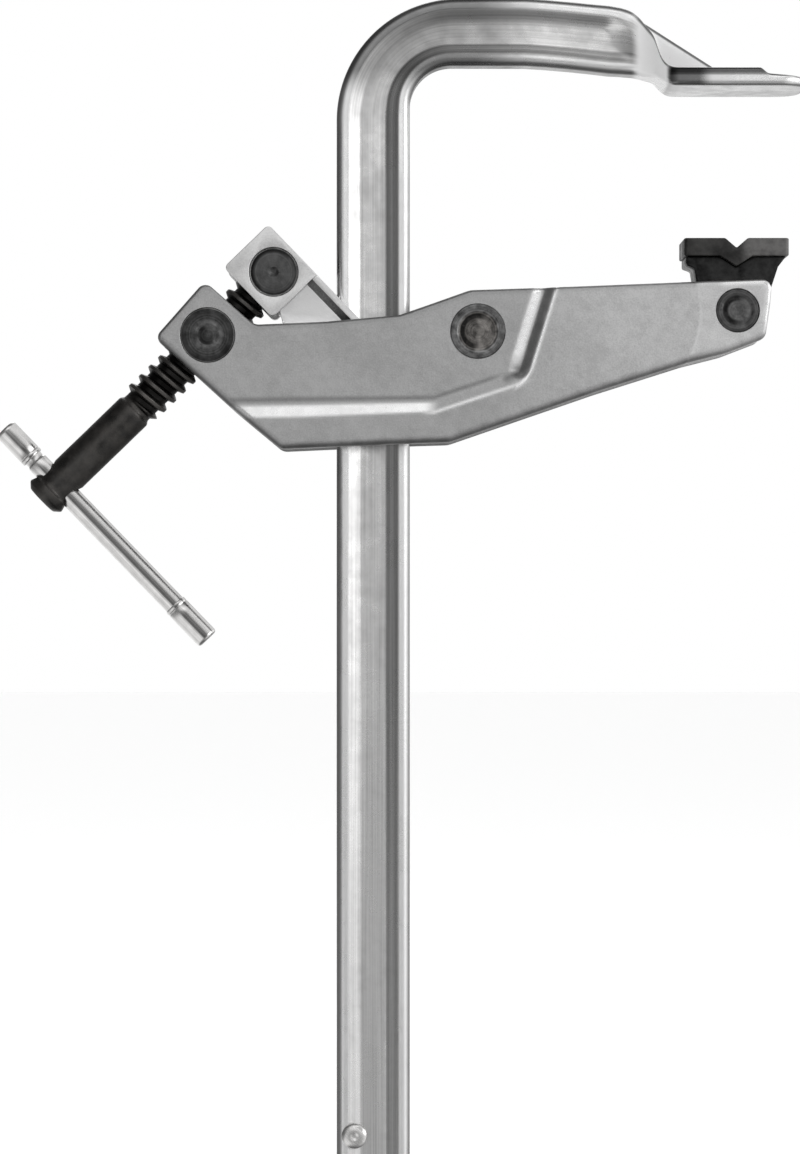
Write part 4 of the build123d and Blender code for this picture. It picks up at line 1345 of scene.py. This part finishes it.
def makeLeverHalf(name, way, seed):
    # way is 1 for the half towards the viewer, and -1 for the other
    sizes = leverSizes
    corners, radii = zip(*leverCorners)
    outline = divided(roundedPath(corners, radii), 1.1)
    normals = outwardNormals(outline)
    inner = layout["cheekInner"]
    widening = sizes["downEdge"] - sizes["upEdge"]
    edges = [sizes["upEdge"] + widening * float(smoothStep(0.15, 0.8, -n.y)) for n in normals]
    # even the radius out along the outline
    for _ in range(6):
        edges = [(edges[i - 1] + 2 * edges[i] + edges[(i + 1) % len(edges)]) / 4 for i in range(len(edges))]
    vertices, faces = [], []

    def addPoints(points, heights):
        first = len(vertices)
        vertices.extend(Vector((x, -way * height, z)) for (x, z), height in zip(points, heights))
        return first

    def addWall(rings, around):
        for first, second in zip(rings, rings[1:]):
            faces.extend(loopStrip(first, second, around))

    def addSheet(flat, triangles, heights):
        first = addPoints(flat, heights)
        faces.extend(tuple(int(i) + first for i in triangle) for triangle in triangles)

    def ringAt(insets, heights):
        return addPoints([p - n * inset for p, n, inset in zip(outline, normals, insets)], heights)

    count = len(outline)
    brimLoop = [p - n * e for p, n, e in zip(outline, normals, edges)]
    brim = softHeight(brimLoop, seed)
    chamfer = sizes["innerEdge"]
    wall = [(chamfer, 0.0), (chamfer * 0.3, chamfer * 0.3), (0.0, chamfer), (0.0, sizes["edgeStart"])]
    rings = [ringAt([inset] * count, [inner + rise] * count) for inset, rise in wall]
    for step in range(8):
        angle = math.radians(step * 90 / 7)
        insets = [e * (1 - math.cos(angle)) for e in edges]
        heights = [h - e * (1 - math.sin(angle)) for h, e in zip(brim, edges)]
        rings.append(ringAt(insets, heights))
    addWall(rings, count)

    # outer face
    holeEdge, innerEdge, around = sizes["holeEdge"], sizes["innerHoleEdge"], sizes["holePoints"]
    holeLoops = [circlePoints(centre, radius + holeEdge, around) for centre, radius in leverHoles]
    low, high = asArray(brimLoop).min(0), asArray(brimLoop).max(0)
    grid = sizes["grid"]
    rows = []
    for row, z in enumerate(np.arange(low[1], high[1], grid * 0.866)):
        shift = grid / 2 if row % 2 else 0.0
        rows += [(x + shift, z) for x in np.arange(low[0], high[0], grid)]
    spots = np.array(rows)
    spots = spots[insideLoop(spots, brimLoop)]
    spots = spots[segmentDistance(spots, brimLoop) > grid * 0.45]
    spots = spots[offHoles(spots, holeEdge + grid * 0.45)]

    def onFace(middles):
        return insideLoop(middles, brimLoop) & offHoles(middles, holeEdge * 0.9)

    flat, triangles = triangulated([brimLoop] + holeLoops, [tuple(p) for p in spots], onFace)
    addSheet(flat, triangles, softHeight(flat, seed))

    # holes: a small chamfer at each end of the wall
    for (centre, radius), wide in zip(leverHoles, holeLoops):
        rim = softHeight(wide, seed)
        narrow = [p - (p - centre).normalized() * holeEdge for p in wide]
        rings = [addPoints(wide, rim), addPoints(narrow, rim - holeEdge)]
        for wider in (0.0, innerEdge):
            loop = circlePoints(centre, radius + wider, around)
            rings.append(addPoints(loop, [inner + innerEdge - wider] * around))
        addWall(rings, around)

    # inner face with the box that the other half closes
    innerLoop = [p - n * chamfer for p, n in zip(outline, normals)]
    innerHoles = [circlePoints(centre, radius + innerEdge, around) for centre, radius in leverHoles]
    boxOuter, boxInner = leverBox()

    def onInner(middles):
        onWall = insideLoop(middles, boxOuter) & ~insideLoop(middles, boxInner)
        return insideLoop(middles, innerLoop) & offHoles(middles, innerEdge - 0.01) & ~onWall

    flat, triangles = triangulated([innerLoop] + innerHoles + [boxOuter, boxInner], [], onInner)
    addSheet(flat, triangles, [inner] * len(flat))
    gap, seam = sizes["middleGap"], sizes["seam"]
    seamOuter = [p - n * seam for p, n in zip(boxOuter, outwardNormals(boxOuter))]
    seamInner = [p + n * seam for p, n in zip(boxInner, outwardNormals(boxInner))]
    for loop, seamLoop in ((boxOuter, seamOuter), (boxInner, seamInner)):
        around = len(loop)
        levels = ((loop, inner), (loop, gap + seam), (seamLoop, gap))
        addWall([addPoints(ring, [height] * around) for ring, height in levels], around)
    between = lambda middles: insideLoop(middles, seamOuter) & ~insideLoop(middles, seamInner)
    flat, triangles = triangulated([seamOuter, seamInner], [], between)
    addSheet(flat, triangles, [gap] * len(flat))

    skin = leverSkin([(v.x, v.z) for v in vertices], outline)
    return newPiece(name + "Forging", vertices, faces, leverZinc, 38.0, {"skin": skin})


def leverBox():
    # the box's outer and inner loop in the side view
    sizes = leverSizes

    def heightOn(first, second, x):
        a, b = leverCorners[first][0], leverCorners[second][0]
        return a.y + (b.y - a.y) * (x - a.x) / (b.x - a.x)

    rear, front, inset = pivot.x + sizes["boxRear"], padPin.x + sizes["boxFront"], sizes["boxInset"]
    corners = [
        Vector((rear, heightOn(5, 6, rear) - inset)),
        Vector((front, heightOn(6, 7, front) - inset)),
        Vector((front, heightOn(11, 12, front) + inset)),
        leverCorners[12][0] + Vector((0.0, inset)),
        Vector((rear, heightOn(12, 13, rear) + inset)),
    ]
    outer = divided(roundedPath(corners, [4.0, 4.0, 4.0, 20.0, 4.0]), 2.0)
    # inside it, each corner is moved in by the wall's thickness
    sides = len(corners)
    moved = []
    for index in range(sides):
        here = corners[index]
        before = (here - corners[index - 1]).normalized()
        after = (corners[(index + 1) % sides] - here).normalized()
        # clockwise loop: the inside lies to the right of each side
        first, second = Vector((before.y, -before.x)), Vector((after.y, -after.x))
        bisector = (first + second).normalized()
        moved.append(here + bisector * (sizes["boxWall"] / bisector.dot(first)))
    inner = divided(roundedPath(moved, [2.5, 2.5, 2.5, 15.0, 2.5]), 2.0)
    return outer, inner


for name, way, seed in (("leverFront", 1, 1.5), ("leverBack", -1, 41.5)):
    half = makeLeverHalf(name, way, seed)
    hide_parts("lever_front_half" if way == 1 else "lever_back_half")
    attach(half, "lever")
print("lever halves made")

# slide arm and pad: forged shapes with their edges rounded
ribFlank = {
    "line": 8.3,
    "reach": (11.75, 33.0),
    "steps": 24,
    # distance off the line and depth
    "profile": [(0.25, 11.46), (-2.3, 10.07), (-2.8, 9.95), (-2.3, 9.55), (0.25, 9.55)],
}


def makeRibFlank(name, way):
    # drafted side of the rib, down to the sunken web, in a dark forging that is painted shade
    sizes = ribFlank
    profile = sizes["profile"]
    vertices, faces = [], []
    steps = np.linspace(*sizes["reach"], sizes["steps"])
    for reach in steps:
        for ahead, depth in profile:
            wave = 0.06 * noise.noise(Vector((reach * 0.3, ahead, depth + way)))
            place = layout["thrust"] + along * (sizes["line"] + ahead + wave) + across * reach
            vertices.append(inSpace(place, way * depth))
    count = len(profile)
    for index in range(len(steps) - 1):
        faces.extend(loopStrip(index * count, (index + 1) * count, count))
    faces += [tuple(range(count)), tuple(range(len(vertices) - count, len(vertices)))]
    piece = newPiece(name, vertices, faces, armPaintedShade, 28.0)
    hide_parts("slide_arm")
    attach(piece, "slide_arm")


makeRibFlank("ribFlankFront", 1)
makeRibFlank("ribFlankBack", -1)
# node: name, material, edge width, body and slot
softenedNodes = {
    "slide_arm": ("slideArmForging", armZinc, 1.1, "slide_arm", "forged_arm"),
    "pad_plate": ("padPlateBlock", blackPlate, 0.5, "pad", "black_steel"),
    "pad_carrier": ("padSaddle", blackSaddle, 0.6, "pad", "black_steel"),
}
for node, (name, look, width, body, slot) in softenedNodes.items():
    piece = softenedCopy(name, node, look, width, 3)
    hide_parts(node)
    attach(piece, body)
    print(node, "softened:", len(piece.data.vertices), "points")

# pins
# each profile runs from the rim inwards: distance below the end, radius
pinEnds = {
    "pivot": [
        (1.4, 10.0), (0.3, 9.98), (0.12, 9.85), (0.03, 9.5), (0.0, 8.9), (0.03, 8.2), (0.06, 7.7),
        (0.18, 7.3), (0.36, 6.9), (0.5, 6.4), (0.55, 5.8), (0.52, 5.2), (0.44, 4.7), (0.36, 4.2),
        (0.3, 3.6), (0.24, 2.9), (0.3, 2.2), (0.4, 1.6), (0.34, 1.0), (0.3, 0.5),
    ],
    "nut": [
        (1.6, 10.0), (0.5, 9.98), (0.2, 9.84), (0.09, 9.5), (0.05, 8.6), (0.08, 7.6), (0.14, 6.8),
        (0.24, 6.3), (0.32, 5.8), (0.30, 5.4), (0.2, 5.0), (0.12, 4.6), (0.12, 4.1), (0.2, 3.7),
        (0.34, 3.3), (0.42, 2.8), (0.42, 2.3), (0.34, 1.8), (0.32, 1.3), (0.36, 0.8), (0.38, 0.4),
    ],
    "thrust": [
        (1.6, 9.0), (0.8, 8.9), (0.4, 8.6), (0.12, 8.15), (0.03, 7.6), (0.0, 6.8), (0.06, 5.0),
        (0.1, 3.0), (0.12, 1.9), (0.4, 1.5), (0.8, 1.0), (0.95, 0.4),
    ],
    "padPin": [
        (1.4, 8.0), (0.5, 7.97), (0.22, 7.75), (0.08, 7.3), (0.02, 6.7), (0.06, 6.0), (0.2, 5.6),
        (0.36, 5.2), (0.36, 4.7), (0.2, 4.3), (0.08, 3.8), (0.08, 3.2), (0.12, 2.4), (0.18, 1.7),
        (0.22, 1.1), (0.24, 0.5),
    ],
}


pinHalfLengths = {"pivot": 17.1, "padPin": 17.6, "nut": 16.4, "thrust": 13.7}


def endProfile(key):
    return [(pinHalfLengths[key] - drop, radius) for drop, radius in pinEnds[key]]


def mirroredProfile(half):
    return [(-reach, radius) for reach, radius in reversed(half)] + half


def peened(reach, radius, angle):
    # hammered ends: shallow facets that fade at the rim
    if radius > 9.2 or abs(reach) < 15.0:
        return 0.0
    spot = Vector((math.cos(angle) * radius * 0.42, math.sin(angle) * radius * 0.42, reach))
    share = min(1.0, (9.2 - radius) / 2.0)
    return noise.noise(spot) * 0.32 * share * (-1 if reach > 0 else 1)


def pressed(reach, radius, angle):
    if abs(reach) < 12.0 or radius < 0.3:
        return 0.0
    spot = Vector((math.cos(angle) * radius * 0.6, math.sin(angle) * radius * 0.6, reach + 9))
    fine = noise.noise(spot * 2.3)
    share = min(1.0, max(0.0, (8.0 - radius) / 2.0))
    return (0.05 + 0.13 * share) * (noise.noise(spot) + 0.5 * fine - 0.2) * (-1 if reach > 0 else 1)


viewerWay = (0.0, -1.0, 0.0)
profile = mirroredProfile(endProfile("pivot"))
rivet = turnedPiece("peenedRivet", profile, inSpace(pivot, 0.0), viewerWay, rivetSteel, wobble=peened)
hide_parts("pivot_rivet")
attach(rivet, "lever")
profile = mirroredProfile(endProfile("padPin"))
swivelPin = turnedPiece("padPin", profile, inSpace(padPin, 0.0), viewerWay, padPinSteel, wobble=pressed)
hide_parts("pad_pin")
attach(swivelPin, "lever")


# how far below the end the bored core stops, and its turned cap begins a little deeper
trunnionSizes = {"coreDrop": 1.9, "capDrop": 2.4, "coreEdge": 0.3}


def makeTrunnion(name, key, node, material, body):
    # the CAD pin keeps its cross bore; its ends are cut short and turned anew
    sizes, halfLength = trunnionSizes, pinHalfLengths[key]
    core = softenedCopy(name + "Core", node, material, sizes["coreEdge"], 2)
    limit = (halfLength - sizes["coreDrop"]) * millimetre
    for vertex in core.data.vertices:
        if abs(vertex.co.y) > limit:
            vertex.co.y = math.copysign(limit, vertex.co.y)
    tidyMesh(core.data, 35.0)
    ends = endProfile(key)
    profile = [(halfLength - sizes["capDrop"], ends[0][1])] + ends
    for side, label in ((1, "Front"), (-1, "Back")):
        middle, axis = inSpace(layout[key], 0.0), (0.0, -side, 0.0)
        cap = turnedPiece(name + label, profile, middle, axis, material, wobble=pressed)
        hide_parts(node)
        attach(cap, body)
    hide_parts(node)
    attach(core, body)


makeTrunnion("nutTrunnion", "nut", "nut_trunnion", nutSteel, "nut_trunnion")
makeTrunnion("thrustTrunnion", "thrust", "thrust_trunnion", thrustSteel, "thrust_trunnion")

# stop pin: domed head on each side of the rail
stopSizes = {
    "place": Vector((-140.2, -385.5)),
    # shank, foot of the head on the rail's face, and dome
    "outerHalf": [
        (6.5, 2.5), (6.5, 4.4), (6.65, 4.62), (7.0, 4.7), (7.45, 4.66), (7.85, 4.4), (8.15, 3.9),
        (8.33, 3.2), (8.42, 2.4), (8.47, 1.7), (8.42, 1.35), (8.3, 1.0), (8.26, 0.5),
    ],
}
profile = mirroredProfile(stopSizes["outerHalf"])
stop = turnedPiece("stopPin", profile, inSpace(stopSizes["place"], 0.0), viewerWay, domedPlate, 64)
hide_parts("stop_pin")
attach(stop, "rail")
print("pins made")

# spindle
spindleSizes = {
    "collar": [
        (-85.5, 0.25), (-85.75, 1.2), (-86.2, 2.0), (-86.4, 2.4), (-86.4, 5.6), (-86.22, 6.1),
        (-84.7, 7.75), (-84.3, 8.02), (-83.8, 8.1), (-81.75, 8.1), (-81.35, 8.0), (-80.95, 7.6),
        (-80.6, 7.25), (-80.2, 7.12),
    ],
    "shank": [
        (-79.0, 7.1), (-60.0, 7.1), (-39.6, 7.1), (-39.0, 6.95), (-38.5, 6.55), (-37.9, 6.15), (-36.9, 6.05),
    ],
    "journal": [
        (25.6, 6.05), (25.75, 5.0), (40.05, 5.0), (40.1, 4.2), (41.2, 4.2), (41.25, 5.0), (42.0, 5.0),
        (42.5, 4.5), (42.5, 0.3),
    ],
    "shankRadius": 7.1,
    "crossHole": -77.9,
    "bore": 4.1,
    "boreEdge": 0.7,
    # how far out the flare is cut, and how much wider it is there
    "flare": (9.0, 2.2),
}
threadSizes = {
    "start": -36.9,
    "end": 25.75,
    "pitch": 5.0,
    "lead": 1.2,
    "crest": 8.1,
    "root": 6.0,
    "taper": 2.0,
    "rowsPerTurn": 18,
    "round": 97,
    # gain and offset that cut a wave down to flat crests and flat roots
    "flats": (0.82, 0.42),
}


def makeSpindle():
    sizes = spindleSizes
    centre, axis, side = inSpace(nut, 0.0), inSpace(along, 0.0), inSpace(across, 0.0)
    profile = divideProfile(sizes["collar"] + sizes["shank"] + sizes["journal"])
    body = turnedPiece("spindleBody", profile, centre, axis, blackOxide, 128)
    # cross hole for the tommy bar, flared where it leaves the shank
    bore, edge = sizes["bore"], sizes["boreEdge"]
    reach = math.sqrt(sizes["shankRadius"] ** 2 - bore**2)
    far, wider = sizes["flare"]
    half = [(reach - edge, bore), (reach + 0.2, bore + edge), (far, bore + edge + wider)]
    hole = centre + axis * sizes["crossHole"]
    cutter = turnedPiece("boreCutter", mirroredProfile(half), hole, side, blackOxide, 64)
    cut = body.modifiers.new("crossBore", "BOOLEAN")
    cut.operation = "DIFFERENCE"
    cut.solver = "EXACT"
    cut.object = cutter
    applyModifiers(body, 30.0)
    bpy.data.objects.remove(cutter)
    return body


def divideProfile(profile, step=1.5):
    # long runs of a lathe profile get points between
    dense = [profile[0]]
    for before, after in zip(profile, profile[1:]):
        parts = max(1, math.ceil(abs(after[0] - before[0]) / step))
        for part in range(1, parts + 1):
            share = part / parts
            dense.append(tuple(b + (a - b) * share for b, a in zip(before, after)))
    return dense


def makeThreadTree():
    # a tube whose radius follows a helix: flat crests, flat roots, sloping flanks
    tree, inside, out = groupTree(
        "screwThread",
        "GeometryNodeTree",
        [
            ("Rows", "NodeSocketInt", 200),
            ("Round", "NodeSocketInt", 97),
            ("Rows Per Turn", number, 16.0),
            ("Start", number, 0.0),
            ("End", number, 0.06),
            ("Pitch", number, 0.005),
            ("Lead", number, 0.0),
            ("Crest", number, 0.008),
            ("Root", number, 0.006),
            ("Taper", number, 0.002),
            ("Centre", point, None),
            ("Axis", point, None),
            ("Side", point, None),
            ("Other Side", point, None),
            ("Material", "NodeSocketMaterial", None),
        ],
        [("Geometry", "NodeSocketGeometry")],
    )
    use = inside.outputs
    corners = {"Size X": 1.0, "Size Y": 1.0, "Vertices X": use["Round"], "Vertices Y": use["Rows"]}
    grid = addNode(tree, "GeometryNodeMeshGrid", corners)
    spot = parted(tree, addNode(tree, "GeometryNodeInputPosition").outputs[0])
    turn = maths(tree, "ADD", spot["X"], 0.5)
    last = maths(tree, "SUBTRACT", use["Rows"], 1.0)
    row = maths(tree, "ROUND", both(tree, maths(tree, "ADD", spot["Y"], 0.5), last))
    turns = maths(tree, "SUBTRACT", maths(tree, "DIVIDE", row, use["Rows Per Turn"]), 1.0)
    free = maths(tree, "MULTIPLY_ADD", maths(tree, "ADD", turns, turn), use["Pitch"], use["Start"])
    reach = maths(tree, "MINIMUM", maths(tree, "MAXIMUM", free, use["Start"]), use["End"])
    fromStart = maths(tree, "SUBTRACT", reach, use["Start"])
    shifted = maths(tree, "SUBTRACT", fromStart, use["Lead"])
    phase = maths(tree, "SUBTRACT", maths(tree, "DIVIDE", shifted, use["Pitch"]), turn)
    wave = maths(tree, "COSINE", both(tree, phase, 2 * math.pi))
    shape = maths(tree, "MULTIPLY_ADD", wave, *threadSizes["flats"], clamp=True)
    toEnd = maths(tree, "SUBTRACT", use["End"], reach)
    nearest = maths(tree, "MINIMUM", fromStart, toEnd)
    fade = maths(tree, "DIVIDE", nearest, use["Taper"], clamp=True)
    depth = maths(tree, "SUBTRACT", use["Crest"], use["Root"])
    full = maths(tree, "MULTIPLY_ADD", both(tree, shape, fade), depth, use["Root"])
    # the first and the last row close the ends
    beforeLast = maths(tree, "LESS_THAN", row, maths(tree, "SUBTRACT", last, 0.5))
    inRows = both(tree, maths(tree, "GREATER_THAN", row, 0.5), beforeLast)
    radius = both(tree, full, inRows)
    angle = both(tree, turn, 2 * math.pi)
    parts = [
        (use["Axis"], reach),
        (use["Side"], both(tree, radius, maths(tree, "COSINE", angle))),
        (use["Other Side"], both(tree, radius, maths(tree, "SINE", angle))),
    ]
    place = use["Centre"]
    for direction, amount in parts:
        place = vectorMaths(tree, "ADD", place, scaled(tree, direction, amount))
    moved = addNode(tree, "GeometryNodeSetPosition", {"Geometry": grid.outputs["Mesh"], "Position": place})
    welded = addNode(tree, "GeometryNodeMergeByDistance", {"Geometry": moved.outputs[0], "Distance": 2e-6})
    endTree(tree, welded.outputs[0], use["Material"], out)
    return tree


def makeThread():
    sizes = threadSizes
    turns = (sizes["end"] - sizes["start"]) / sizes["pitch"] + 1
    axis, side = inSpace(along, 0.0), inSpace(across, 0.0)
    values = {
        "Rows": math.ceil(turns * sizes["rowsPerTurn"]) + 1,
        "Round": sizes["round"],
        "Rows Per Turn": float(sizes["rowsPerTurn"]),
        "Centre": tuple(inSpace(nut, 0.0) * millimetre),
        "Axis": tuple(axis),
        "Side": tuple(side),
        "Other Side": tuple(axis.cross(side)),
        "Material": blackOxide,
    }
    for key in ("start", "end", "pitch", "lead", "crest", "root", "taper"):
        values[key.capitalize()] = sizes[key] * millimetre
    thread = nodePiece("spindleThread", makeThreadTree(), values)
    applyModifiers(thread, 42.0)
    return thread


for piece in (makeSpindle(), makeThread()):
    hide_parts("spindle")
    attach(piece, "spindle")
print("spindle made")

# tommy bar with its sleeves
tommySizes = {
    "bar": [
        (-25.5, 0.3), (-25.5, 2.6), (-25.3, 2.8), (-13.55, 2.8), (-13.5, 3.5), (-11.9, 3.5),
        (-11.6, 3.62), (-11.25, 3.9), (-10.95, 4.0), (62.0, 4.0), (62.05, 2.8), (76.5, 2.8),
        (76.7, 2.6), (76.7, 0.3),
    ],
    "upperCap": [
        (-28.45, 0.3), (-28.45, 3.2), (-28.34, 3.7), (-28.06, 4.06), (-27.6, 4.28), (-27.0, 4.33),
        (-15.6, 4.35), (-15.45, 4.26), (-15.15, 4.26), (-15.0, 4.35), (-13.95, 4.35), (-13.65, 4.25),
        (-13.5, 4.0), (-13.5, 2.9), (-14.5, 2.9),
    ],
    "lowerCap": [
        (61.0, 2.9), (61.9, 2.9), (61.9, 4.0), (62.05, 4.25), (62.35, 4.35), (63.4, 4.35),
        (63.55, 4.26), (63.85, 4.26), (64.0, 4.35), (78.2, 4.35), (78.8, 4.3), (79.3, 4.08),
        (79.58, 3.7), (79.7, 3.2), (79.7, 0.3),
    ],
}
tommyMiddle = inSpace(nut, 0.0) + inSpace(along, 0.0) * spindleSizes["crossHole"]
for name, key, node in (
    ("tommyBar", "bar", "tommy_bar"),
    ("tommySleeveUpper", "upperCap", "tommy_cap_upper"),
    ("tommySleeveLower", "lowerCap", "tommy_cap_lower"),
):
    profile = divideProfile(tommySizes[key], 4.0)
    piece = turnedPiece(name, profile, tommyMiddle, inSpace(across, 0.0), brightPlate, 72)
    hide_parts(node)
    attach(piece, "tommy_bar")
print("tommy bar made")

# inner parts keep their CAD shapes
innerLooks = {
    "pivot_bush": bronze,
    "pivot_washer_front": innerSteel,
    "pivot_washer_back": innerSteel,
    "thrust_washer": innerSteel,
    "retaining_ring": blackOxide,
}
for name, material in innerLooks.items():
    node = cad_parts[name]
    if not node.data.materials:
        node.data.materials.append(material)
    for place in node.material_slots:
        place.material = material
print("inner parts coloured")

# stage, light and camera
stageSizes = {
    # the floor lies below the cross bar of an arm slid right down; its corners are in metres
    "floor": -466.0,
    "floorCorners": [(-6, -4), (6, -4), (6, 8), (-6, 8)],
    "floorTone": 0.93,
    "floorGlow": 0.35,
    "camera": (-0.1234, -1.4, -0.1797),
    "lens": 78.69,
    "sensor": 24.0,
    "aim": (-0.12, 0.0, -0.16),
    # each lamp's place, width and power
    "lamps": {"keyLamp": ((1.3, -1.1, 1.1), 1.0, 9.0), "topLamp": ((0.1, 0.1, 1.7), 1.6, 9.0)},
    # what the metal mirrors at a height and at a bearing from the front
    "riseLevels": [
        (-1.0, 0.13), (-0.78, 0.17), (-0.5, 0.30), (-0.3, 0.32), (-0.137, 0.29), (-0.085, 0.36),
        (-0.033, 0.45), (0.021, 0.59), (0.06, 0.75), (0.099, 0.9), (0.18, 1.02), (0.3, 1.08),
        (0.5, 1.2), (0.66, 0.95), (0.76, 0.6), (0.86, 0.36), (0.96, 0.16), (1.0, 0.12),
    ],
    "sideLevels": [
        (-180.0, 2.0), (-172.0, 1.6), (-155.0, 0.22), (-100.0, 0.1), (-60.0, 0.14), (-38.0, 0.16),
        (-22.0, 0.42), (-9.0, 0.97), (0.0, 1.02), (8.0, 1.12), (18.0, 1.5), (36.0, 2.2), (60.0, 2.4),
        (95.0, 1.8), (135.0, 1.0), (155.0, 0.3), (172.0, 1.6), (180.0, 2.0),
    ],
    # cards along the slant that the cross bar mirrors: white low on the left, grey high on the right
    "slantLevels": [
        (-180.0, 0.9), (-140.0, 0.95), (-105.0, 0.74), (-75.0, 0.72), (-45.0, 0.92), (-28.0, 0.86),
        (-10.0, 0.6), (0.0, 0.5), (10.0, 0.4), (28.0, 0.4), (50.0, 0.6), (80.0, 0.8), (120.0, 0.75),
        (150.0, 0.6), (180.0, 0.9),
    ],
    "slantWidth": (0.14, 0.36),
    "lowGlow": 0.26,
    "softLevel": 0.65,
}


def makeFloor():
    material = bpy.data.materials.new("paleFloor")
    material.use_nodes = True
    tree = material.node_tree
    shader = tree.nodes["Principled BSDF"]
    shader.inputs["Base Color"].default_value = grey(stageSizes["floorTone"])
    shader.inputs["Roughness"].default_value = 0.7
    shader.inputs["Specular IOR Level"].default_value = 0.2
    shader.inputs["Emission Color"].default_value = grey(1.0)
    rays = addNode(tree, "ShaderNodeLightPath").outputs
    seen = maths(tree, "MAXIMUM", rays["Is Camera Ray"], rays["Is Glossy Ray"])
    tree.links.new(both(tree, seen, stageSizes["floorGlow"]), shader.inputs["Emission Strength"])
    mesh = bpy.data.meshes.new("floor")
    low = stageSizes["floor"] * millimetre
    mesh.from_pydata([(x, y, low) for x, y in stageSizes["floorCorners"]], [], [(0, 1, 2, 3)])
    mesh.materials.append(material)
    floor = newObject("floor", mesh)
    floor.visible_glossy = False


def makeAir():
    # what the metal mirrors: brighter upwards and to the right, dark below, left and behind
    world = bpy.data.worlds.new("studioAir")
    bpy.context.scene.world = world
    world.use_nodes = True
    tree = world.node_tree
    background = tree.nodes["Background"]
    background.inputs["Color"].default_value = grey(1.0)
    rays = addNode(tree, "ShaderNodeLightPath").outputs
    parts = parted(tree, addNode(tree, "ShaderNodeTexCoord").outputs["Generated"])
    rise = curveNode(tree, parts["Z"], stageSizes["riseLevels"])
    front = both(tree, parts["Y"], -1.0)
    bearing = maths(tree, "DEGREES", maths(tree, "ARCTAN2", parts["X"], front))
    side = curveNode(tree, bearing, stageSizes["sideLevels"])
    steep = mapped(tree, maths(tree, "ABSOLUTE", parts["Z"]), 0.74, 0.98, 0.0, 1.0, True)
    eased = maths(tree, "MULTIPLY_ADD", maths(tree, "SUBTRACT", 1.0, side), steep, side)
    mirrored = both(tree, rise, eased)
    glow = mapped(tree, parts["Z"], -0.14, 0.08, stageSizes["lowGlow"], 0.0)
    mirrored = maths(tree, "MULTIPLY_ADD", maths(tree, "SUBTRACT", 1.0, eased, clamp=True), glow, mirrored)
    ahead = maths(tree, "MULTIPLY_ADD", parts["Z"], along.y, both(tree, parts["X"], along.x))
    off = maths(tree, "MULTIPLY_ADD", parts["Z"], across.y, both(tree, parts["X"], across.x))
    slant = maths(tree, "DEGREES", maths(tree, "ARCTAN2", ahead, front))
    near, far = stageSizes["slantWidth"]
    close = mapped(tree, maths(tree, "ABSOLUTE", off), near, far, 1.0, 0.0, True)
    onSlant = both(tree, close, mapped(tree, maths(tree, "ABSOLUTE", slant), 10.0, 20.0, 0.0, 1.0, True))
    change = maths(tree, "SUBTRACT", curveNode(tree, slant, stageSizes["slantLevels"]), mirrored)
    mirrored = maths(tree, "MULTIPLY_ADD", change, onSlant, mirrored)
    level = both(tree, rays["Is Glossy Ray"], mirrored)
    seen = maths(tree, "MAXIMUM", rays["Is Camera Ray"], rays["Is Transmission Ray"])
    level = maths(tree, "ADD", level, seen)
    rest = maths(tree, "SUBTRACT", 1.0, maths(tree, "MAXIMUM", seen, rays["Is Glossy Ray"]))
    strength = maths(tree, "MULTIPLY_ADD", rest, stageSizes["softLevel"], level)
    tree.links.new(strength, background.inputs["Strength"])


def makeLamp(name, place, width, power):
    light = bpy.data.lights.new(name, "AREA")
    light.shape = "SQUARE"
    light.size = width
    light.energy = power
    lamp = newObject(name, light)
    lamp.location = place
    lamp.visible_glossy = False
    facing = Vector(stageSizes["aim"]) - Vector(place)
    lamp.rotation_euler = facing.to_track_quat("-Z", "Y").to_euler()


def makeCamera():
    camera = newObject("photoCamera", bpy.data.cameras.new("photoCamera"))
    camera.location = stageSizes["camera"]
    camera.rotation_euler = (math.radians(90), 0.0, 0.0)
    camera.data.sensor_fit = "VERTICAL"
    camera.data.sensor_height = stageSizes["sensor"]
    camera.data.lens = stageSizes["lens"]
    bpy.context.scene.camera = camera


makeFloor()
makeAir()
for name, values in stageSizes["lamps"].items():
    makeLamp(name, *values)
makeCamera()
bpy.context.scene.view_settings.view_transform = "Standard"
print("stage, light and camera made")
